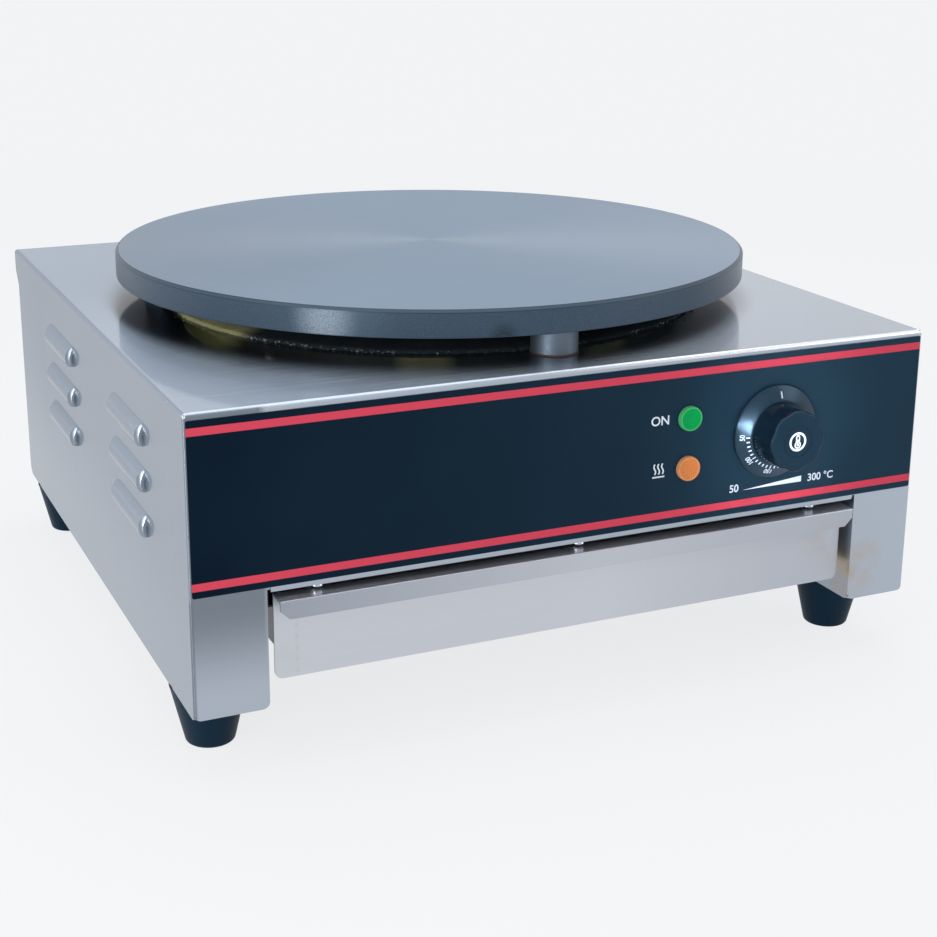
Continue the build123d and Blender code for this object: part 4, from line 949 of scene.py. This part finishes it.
class CREPEMAKER_OT_heater(bpy.types.Operator):
    """Finish the legs, insulation, heater pan and elements under the plate"""

    bl_idname = "crepe_maker.heater"
    bl_label = "Heater"

    def execute(self, context):
        look = context.scene.crepe_maker_heater
        fibre = fibre_finish(look)
        add_piece(make_ragged_pad(look), "casing", "insulation", fibre, "insulation_pad")
        add_piece(make_crumbs(look), "casing", "insulation", fibre)
        dress(fibre, "insulation_disc")
        dress(pan_finish(look), "heater_pan")
        casting = Finish("cast_leg", metallic=0.85)
        sand = casting.mottle(scale=700.0, detail=4.0)
        casting.shades(sand, look.casting, dark=0.78, light=1.12)
        casting.rough(sand, 0.42, 0.6)
        casting.bump(sand, 0.05 * MM, 0.6)
        dress(casting, "plate_support_front", "plate_support_left", "plate_support_right")
        dress(moulded("fibre_washer", (0.07, 0.03, 0.03), 0.7), "support_washers")
        dress(plated("element_sheath", (0.20, 0.20, 0.21), roughness=0.5), "heating_element_outer",
              "heating_element_inner")
        dress(plated("copper", (0.72, 0.36, 0.22), roughness=0.3), "sensing_bulb", "capillary_tube")
        return {"FINISHED"}


# ---------------------------------------------------------------- knob
def skirt_surface(look):
    """A function for the y of the skirt's front, level in the middle and sloping to the edge."""
    edge_y = SKIRT_HIGH.y - look.skirt_edge

    def surface(x, z):
        away = math.hypot(x - KNOB_CENTRE.x, z - KNOB_CENTRE.z)
        slope = min(1.0, max(0.0, (away - look.seat_radius) / (SKIRT_RADIUS - look.seat_radius)))
        return SKIRT_LOW.y + (edge_y - SKIRT_LOW.y) * slope

    return surface


def on_dial(shape, away, turn):
    """A flat shape placed on the dial: away from the middle, turned anticlockwise from the top."""
    right = KNOB_CENTRE.x - away * math.sin(turn)
    up = KNOB_CENTRE.z + away * math.cos(turn)
    return moved(shape, right, up, turn)


def dial_marks(look):
    """The mark for off, the figures, and the small marks between them."""
    def mark(turn, start, end, width):
        middle = (start + end) / 2
        path = [(0, -(end - start) / 2), (0, 0), (0, (end - start) / 2)]
        return on_dial(stroke(path, width), middle, turn)

    start = look.mark_radius
    shapes = [mark(-look.tilt, start + 0.6 * MM, start + 4.2 * MM, 0.9 * MM)]
    for k in range(look.figures):
        turn = look.first_figure - look.tilt + k * look.figure_step
        shapes.append(mark(turn, start - 0.2 * MM, start + 1.9 * MM, 0.6 * MM))
        figure = words(str((k + 1) * look.degrees_step), look.figure_height)
        shapes.append(on_dial(figure, start + 2.5 * MM + look.figure_height / 2, turn))
        if k < look.figures - 1:
            for i in range(1, look.small_marks):
                small = turn + look.figure_step * i / look.small_marks
                shapes.append(mark(small, start, start + 1.7 * MM, 0.8 * MM))
    return shapes


def make_grip(look):
    """The lobed grip, from the skirt to its flat face with a round seat for the cap."""
    steps = 256
    taper, level_rim = 1.5 * MM, 1 * MM
    face_radius = half_width(GRIP_LOW, GRIP_HIGH) - taper
    seat_y, face_y = SKIRT_LOW.y, GRIP_LOW.y
    recess_radius, recess_y = CAP_RADIUS + 0.25 * MM, face_y + 0.5 * MM
    corners = [(look.base_radius, seat_y, 0), (look.base_radius - 0.1 * MM, seat_y - 1.2 * MM, 0.4 * MM),
               (face_radius, face_y, look.edge), (recess_radius, face_y, 0.2 * MM),
               (recess_radius, recess_y, 0), (0, recess_y, 0)]
    profile = rounded(corners, 6)
    form = bmesh.new()
    rings = []
    for p in profile[:-1]:
        ring = []
        fade = min(1.0, max(0.0, (seat_y - p.y - level_rim) / look.scoop_fade))
        flat = CAP_RADIUS + level_rim
        inner = min(1.0, max(0.0, (p.x - flat) / (face_radius - flat)))
        for k in range(steps):
            turn = 2 * math.pi * k / steps
            wave = 0.5 - 0.5 * math.cos(look.lobes * turn)
            radius = p.x - look.scoop * wave ** 1.6 * fade * inner
            ring.append(form.verts.new((radius * math.sin(turn), p.y, radius * math.cos(turn))))
        rings.append(ring)
    bridge(form, rings)
    form.faces.new(rings[-1])
    form.faces.new(list(reversed(rings[0])))
    bmesh.ops.translate(form, verts=form.verts, vec=(KNOB_CENTRE.x, 0, KNOB_CENTRE.z))
    return mesh_from("knob_grip_lobed", form, 50.0)


def thermometer(height, line):
    """The outline of a thermometer with its column, standing on its bulb."""
    bulb, stem = height * 0.24, height * 0.13
    bulb_up = -height / 2 + bulb
    lean = math.asin(stem / bulb)
    path = circle(bulb, 28, math.pi / 2 + lean, 2 * math.pi - 2 * lean, (0, bulb_up))
    path += circle(stem, 14, 0.0, math.pi, (0, height / 2 - stem))
    column = stroke([(0, bulb_up), (0, height * 0.18)], line * 0.5)
    return [stroke(path, line * 0.62, closed=True), disc(bulb * 0.45, (0, bulb_up)), column]


class CREPEMAKER_OT_knob(bpy.types.Operator):
    """Make the lobed grip, the dial skirt with its figures, and the cap with its symbol"""

    bl_idname = "crepe_maker.knob"
    bl_label = "Thermostat Knob"

    def execute(self, context):
        look = context.scene.crepe_maker_knob
        film = context.scene.crepe_maker_fascia
        ink = moulded("dial_ink", film.print_white, 0.5, depth=0.004)
        gloss = moulded("knob_gloss", look.phenolic, 0.13, 0.25, COOL, texture=300.0, depth=0.003)
        satin = moulded("knob_satin", look.phenolic, 0.3, 0.42, COOL, texture=900.0, depth=0.005)
        add_piece(make_grip(look), "knob", "knob_black", gloss, "knob_grip")

        middle = (KNOB_CENTRE.x, 0, KNOB_CENTRE.z)
        hub = 7.5 * MM
        back, front = -SKIRT_HIGH.y, -SKIRT_LOW.y
        corners = [(hub, back, 0), (SKIRT_RADIUS, back, 0.2 * MM),
                   (SKIRT_RADIUS, back + look.skirt_edge, 0.3 * MM), (look.seat_radius, front, 0.4 * MM),
                   (hub, front, 0), (hub, back, 0)]
        skirt = turned("knob_skirt_turned", corners, middle, axis="Y", steps=192)
        add_piece(skirt, "knob", "knob_black", satin, "knob_skirt")
        marks = printed("dial_marks", dial_marks(look), skirt_surface(look), film.ink)
        add_piece(marks, "knob", "knob_black", ink)

        room_for_ink = 0.12 * MM
        cap_front, cap_back = -CAP_LOW.y - room_for_ink, -CAP_HIGH.y
        corners = [(0, cap_back, 0), (CAP_RADIUS, cap_back, 0), (CAP_RADIUS, cap_front, 0.35 * MM),
                   (0, cap_front, 0)]
        cap = turned("knob_cap_turned", corners, middle, axis="Y", steps=128)
        add_piece(cap, "knob", "knob_black", gloss, "knob_cap")
        ring = stroke(circle(look.badge_radius - look.badge_line / 2, 96), look.badge_line, closed=True)
        shapes = [ring] + thermometer(look.badge_radius * 1.3, look.badge_line)
        shapes = [moved(shape, KNOB_CENTRE.x, KNOB_CENTRE.z) for shape in shapes]
        badge = printed("cap_symbol", shapes, lambda x, z: -cap_front, film.ink)
        add_piece(badge, "knob", "knob_black", ink)
        return {"FINISHED"}


# ---------------------------------------------------------------- lamps
def make_lens(title, node, look):
    """A round lens with a waffle grid inside a smooth raised rim."""
    low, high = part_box(node)
    centre = (low + high) / 2
    radius = half_width(low, high)
    field = radius - look.rim
    front = low.y + 0.55 * MM
    form = bmesh.new()
    per_cell = 6
    spacing = look.cell / per_cell
    half = int(field / spacing) + 2
    verts = {}
    for i in range(-half, half + 1):
        for k in range(-half, half + 1):
            u, v = i * spacing, k * spacing
            away = math.hypot(u, v)
            if away > field + spacing * 1.5:
                continue
            if away > field:
                u, v = u * field / away, v * field / away
            wave = abs(math.sin(math.pi * u / look.cell) * math.sin(math.pi * v / look.cell)) ** 0.7
            verts[i, k] = form.verts.new((centre.x + u, front - look.cell_depth * wave, centre.z + v))
    for (i, k), vert in verts.items():
        square = [verts.get(key) for key in ((i, k), (i + 1, k), (i + 1, k + 1), (i, k + 1))]
        if all(square):
            form.faces.new(square)
    grid = mesh_from(title + "_lens_grid", form, 180.0)
    corners = [(0, -high.y, 0), (radius, -high.y, 0), (radius, -low.y - 0.9 * MM, 0.5 * MM),
               (radius - 0.35 * MM, -low.y, 0.3 * MM), (field + 0.1 * MM, -low.y - 0.15 * MM, 0.3 * MM),
               (field - 0.15 * MM, -front - 0.35 * MM, 0), (0, -front - 0.35 * MM, 0)]
    body = turned(title + "_lens_body", corners, (centre.x, 0, centre.z), axis="Y", steps=96)
    return body, grid


def lens_finish(name, node, tone, look):
    """Tinted plastic, with a painted highlight on the smooth rim and painted shade between the bumps of the
    grid.
    """
    finish = moulded(name, tone, 0.2, 0.3, [part ** 0.3 for part in tone], texture=300.0, depth=0.002)
    finish.to("Subsurface Weight", 0.2)
    finish.to("Subsurface Scale", 1.0 * MM)
    low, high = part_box(node)
    centre = (low + high) / 2
    field = half_width(low, high) - look.rim
    x, _, z = finish.where()
    grid = []
    for part, middle in ((x, centre.x), (z, centre.z)):
        turn = finish.both(finish.sum("SUBTRACT", part, middle), math.pi / look.cell)
        grid.append(finish.sum("ABSOLUTE", finish.sum("SINE", turn)))
    # Painted shade between the bumps of the grid.
    valley_shade = finish.ranged(finish.sum("MINIMUM", *grid), 0.0, 0.55, 0.45, 0.0)
    away = finish.distance(finish.join(x, 0.0, z), (centre.x, 0.0, centre.z))
    inside = finish.ranged(away, field, field - 0.4 * MM)
    finish.over([part * 0.4 for part in tone], inside, valley_shade)
    # Painted highlight: the rim paled.
    rim = finish.ranged(away, field, field + 0.5 * MM)
    finish.over(look.rim_highlight, rim, 0.12)
    return finish


class CREPEMAKER_OT_lamps(bpy.types.Operator):
    """Make the green and orange lenses with their grids"""

    bl_idname = "crepe_maker.lamps"
    bl_label = "Lamps"

    def execute(self, context):
        look = context.scene.crepe_maker_lamps
        for title, tone, slot in (("power", look.green, "lens_green"), ("heat", look.orange, "lens_orange")):
            node = title + "_lamp_lens"
            finish = lens_finish(title + "_lens", node, tone, look)
            body, grid = make_lens(title, node, look)
            add_piece(body, "casing", slot, finish, node)
            add_piece(grid, "casing", slot, finish)
        dress(moulded("lamp_housing", (0.72, 0.71, 0.67), 0.5), "power_lamp_body", "heat_lamp_body")
        return {"FINISHED"}


# ---------------------------------------------------------------- feet and small parts
class CREPEMAKER_OT_feet(bpy.types.Operator):
    """Turn the four tapered rubber feet"""

    bl_idname = "crepe_maker.feet"
    bl_label = "Feet"

    def execute(self, context):
        look = context.scene.crepe_maker_feet
        rubber = moulded("foot_rubber", look.rubber, 0.45, 0.1, COOL, texture=700.0, depth=0.03)
        for corner in ("front_left", "front_right", "rear_left", "rear_right"):
            node = "foot_" + corner
            low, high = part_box(node)
            corners = [(0, look.bore_depth, 0), (look.bore_radius, look.bore_depth, 0.4 * MM),
                       (look.bore_radius, 0, 0.4 * MM), (look.bottom_radius, 0, look.edge),
                       (look.top_radius - 0.25 * MM, high.z - 1.6 * MM, 0.3 * MM),
                       (look.top_radius, high.z - 1.3 * MM, 0.3 * MM), (look.top_radius, high.z, 0.3 * MM),
                       (0, high.z, 0)]
            centre = (low + high) / 2
            mesh = turned(node + "_turned", corners, (centre.x, centre.y, 0), steps=96)
            add_piece(mesh, "casing", "foot_rubber", rubber, node)
        return {"FINISHED"}


class CREPEMAKER_OT_fittings(bpy.types.Operator):
    """Finish the screws, thermostat, terminal block, gland and wires"""

    bl_idname = "crepe_maker.fittings"
    bl_label = "Fittings"

    def execute(self, context):
        zinc = plated("zinc_plate", (0.76, 0.78, 0.81), roughness=0.22, scale=300.0)
        dress(zinc, "front_fold_screws", "back_panel_screws", "foot_screws", "foot_nuts", "plate_bolts",
              "heater_pan_screws", "bulb_clip_screw", "bulb_clip", "thermostat_screws", "thermostat_shaft",
              "terminal_block_screws", "lamp_clips")
        dress(plated("thermostat_case", (0.55, 0.56, 0.58), roughness=0.35, scale=90.0), "thermostat_body")
        dress(moulded("steatite", (0.78, 0.76, 0.71), 0.75, depth=0.02), "terminal_block")
        dress(plated("brass", (0.66, 0.48, 0.2), roughness=0.3), "earth_stud", "earth_stud_nut")
        dress(moulded("black_nylon", (0.018, 0.018, 0.02), 0.5, depth=0.02), "cable_gland_body",
              "cable_gland_locknut", "cable_gland_dome_nut")
        dress(moulded("gland_rubber", (0.02, 0.02, 0.022), 0.7, specular=0.3), "cable_gland_seal")
        wires = {"brown_wire": ((0.12, 0.045, 0.02), ("wire_live_feed", "wire_live_heater")),
                 "blue_wire": ((0.02, 0.09, 0.34), ("wire_neutral",)),
                 "black_wire": ((0.015, 0.015, 0.016), ("wire_heater_link", "lamp_leads")),
                 "green_wire": ((0.08, 0.3, 0.05), ("wire_earth",))}
        for title, (tone, nodes) in wires.items():
            dress(moulded(title, tone, 0.55, texture=500.0), *nodes)
        return {"FINISHED"}


# ---------------------------------------------------------------- studio
def make_world(look):
    """A plain background that shows as it is, and lights more gently."""
    world = bpy.data.worlds.new("studio")
    world.use_nodes = True
    bpy.context.scene.world = world
    world.node_tree.nodes.clear()
    nodes = Nodes(world.node_tree)
    path = nodes.add("LightPath").outputs
    seen = nodes.sum("MAXIMUM", path["Is Camera Ray"], path["Is Glossy Ray"])
    shown = nodes.sum("MAXIMUM", seen, path["Is Transmission Ray"])
    backgrounds = []
    for strength in (look.fill, 1.0):
        node = nodes.add("Background")
        nodes.feed(node.inputs["Color"], look.background)
        nodes.feed(node.inputs["Strength"], strength)
        backgrounds.append(node.outputs[0])
    out = nodes.add("OutputWorld")
    nodes.feed(out.inputs["Surface"], nodes.mixed(shown, *backgrounds))


def make_floor(look):
    """A large pale floor that shows the background's colour and a soft share of the shadow."""
    form = bmesh.new()
    bmesh.ops.create_grid(form, x_segments=1, y_segments=1, size=60.0)
    floor = bpy.data.objects.new("floor", mesh_from("floor", form))
    bpy.context.scene.collection.objects.link(floor)
    finish = Finish("floor_paper", base=(0.95, 0.955, 0.965), roughness=0.9, specular=0.1)
    path = finish.add("LightPath").outputs
    shown = finish.sum("MAXIMUM", path["Is Camera Ray"], path["Is Glossy Ray"])
    plain = finish.add("Emission")
    finish.feed(plain.inputs["Color"], look.background)
    kept = finish.both(finish.near((0, 0, 0), 0.7, 2.2), look.shadow)
    amount = finish.both(shown, finish.sum("SUBTRACT", 1.0, kept))
    surface = finish.mixed(amount, finish.shader.outputs[0], plain.outputs[0])
    finish.feed(finish.tree.nodes["Material Output"].inputs["Surface"], surface)
    floor.data.materials.append(finish.material)


def soft_box(name, place, size, power, target=(0.0, 0.0, 0.12), spread=180.0):
    """A square area light that looks at the object, with its spread in degrees."""
    light = bpy.data.lights.new(name, "AREA")
    light.shape = "SQUARE"
    light.size = size
    light.energy = power
    light.spread = math.radians(spread)
    lamp = bpy.data.objects.new(name, light)
    lamp.location = place
    lamp.visible_camera = False
    lamp.rotation_mode = "QUATERNION"
    lamp.rotation_quaternion = (Vector(target) - Vector(place)).to_track_quat("-Z", "Y")
    bpy.context.scene.collection.objects.link(lamp)


def make_camera(look):
    """The camera, turned by its yaw, pitch and roll."""
    data = bpy.data.cameras.new("camera")
    data.sensor_width = 36.0
    data.lens = look.lens
    data.shift_y = look.frame_rise
    camera = bpy.data.objects.new("camera", data)
    yaw = Matrix.Rotation(-look.camera_yaw, 4, "Z")
    pitch = Matrix.Rotation(math.pi / 2 - look.camera_pitch, 4, "X")
    roll = Matrix.Rotation(look.camera_roll, 4, "Z")
    aim = yaw @ pitch @ roll
    camera.matrix_world = Matrix.Translation(look.camera_place) @ aim
    bpy.context.scene.collection.objects.link(camera)
    bpy.context.scene.camera = camera


class CREPEMAKER_OT_studio(bpy.types.Operator):
    """Set up the floor, background, lights and camera"""

    bl_idname = "crepe_maker.studio"
    bl_label = "Studio"

    def execute(self, context):
        look = context.scene.crepe_maker_studio
        context.scene.view_settings.view_transform = "Standard"
        make_world(look)
        make_floor(look)
        soft_box("overhead_light", (0.2, 0.3, 1.9), 1.8, 22.0)
        soft_box("left_light", (-1.9, -0.6, 1.3), 1.5, 14.0)
        soft_box("front_left_light", (-1.2, -0.95, 0.35), 0.42, 8.0)
        soft_box("knob_light", (-0.14, -1.50, 0.035), 0.06, 0.035, tuple(KNOB_CENTRE), spread=6.0)
        soft_box("right_light", (1.7, -1.3, 1.1), 0.9, 8.0)
        make_camera(look)
        return {"FINISHED"}


# ---------------------------------------------------------------- panel and registration
MAKERS = (CREPEMAKER_OT_sheets, CREPEMAKER_OT_fascia, CREPEMAKER_OT_griddle, CREPEMAKER_OT_heater,
          CREPEMAKER_OT_knob, CREPEMAKER_OT_lamps, CREPEMAKER_OT_feet, CREPEMAKER_OT_fittings,
          CREPEMAKER_OT_studio)

LOOKS = {"crepe_maker_steel": CrepeMakerSteel, "crepe_maker_fascia": CrepeMakerFascia,
         "crepe_maker_griddle": CrepeMakerGriddle, "crepe_maker_heater": CrepeMakerHeater,
         "crepe_maker_knob": CrepeMakerKnob, "crepe_maker_lamps": CrepeMakerLamps,
         "crepe_maker_feet": CrepeMakerFeet, "crepe_maker_studio": CrepeMakerStudio}


class CREPEMAKER_PT_sidebar(bpy.types.Panel):
    """Lists the crepe maker's pieces"""

    bl_idname = "CREPEMAKER_PT_sidebar"
    bl_label = "Crepe Maker"
    bl_space_type = "VIEW_3D"
    bl_region_type = "UI"
    bl_category = "Crepe Maker"

    def draw(self, context):
        for maker in MAKERS:
            self.layout.operator(maker.bl_idname)


def register():
    for kind in (*LOOKS.values(), *MAKERS, CREPEMAKER_PT_sidebar):
        bpy.utils.register_class(kind)
    for name, kind in LOOKS.items():
        setattr(bpy.types.Scene, name, PointerProperty(type=kind))


def unregister():
    for name in LOOKS:
        delattr(bpy.types.Scene, name)
    for kind in reversed((*LOOKS.values(), *MAKERS, CREPEMAKER_PT_sidebar)):
        bpy.utils.unregister_class(kind)


def main():
    register()
    for maker in MAKERS:
        group, _, call = maker.bl_idname.partition(".")
        getattr(getattr(bpy.ops, group), call)()


if __name__ == "__main__":
    main()
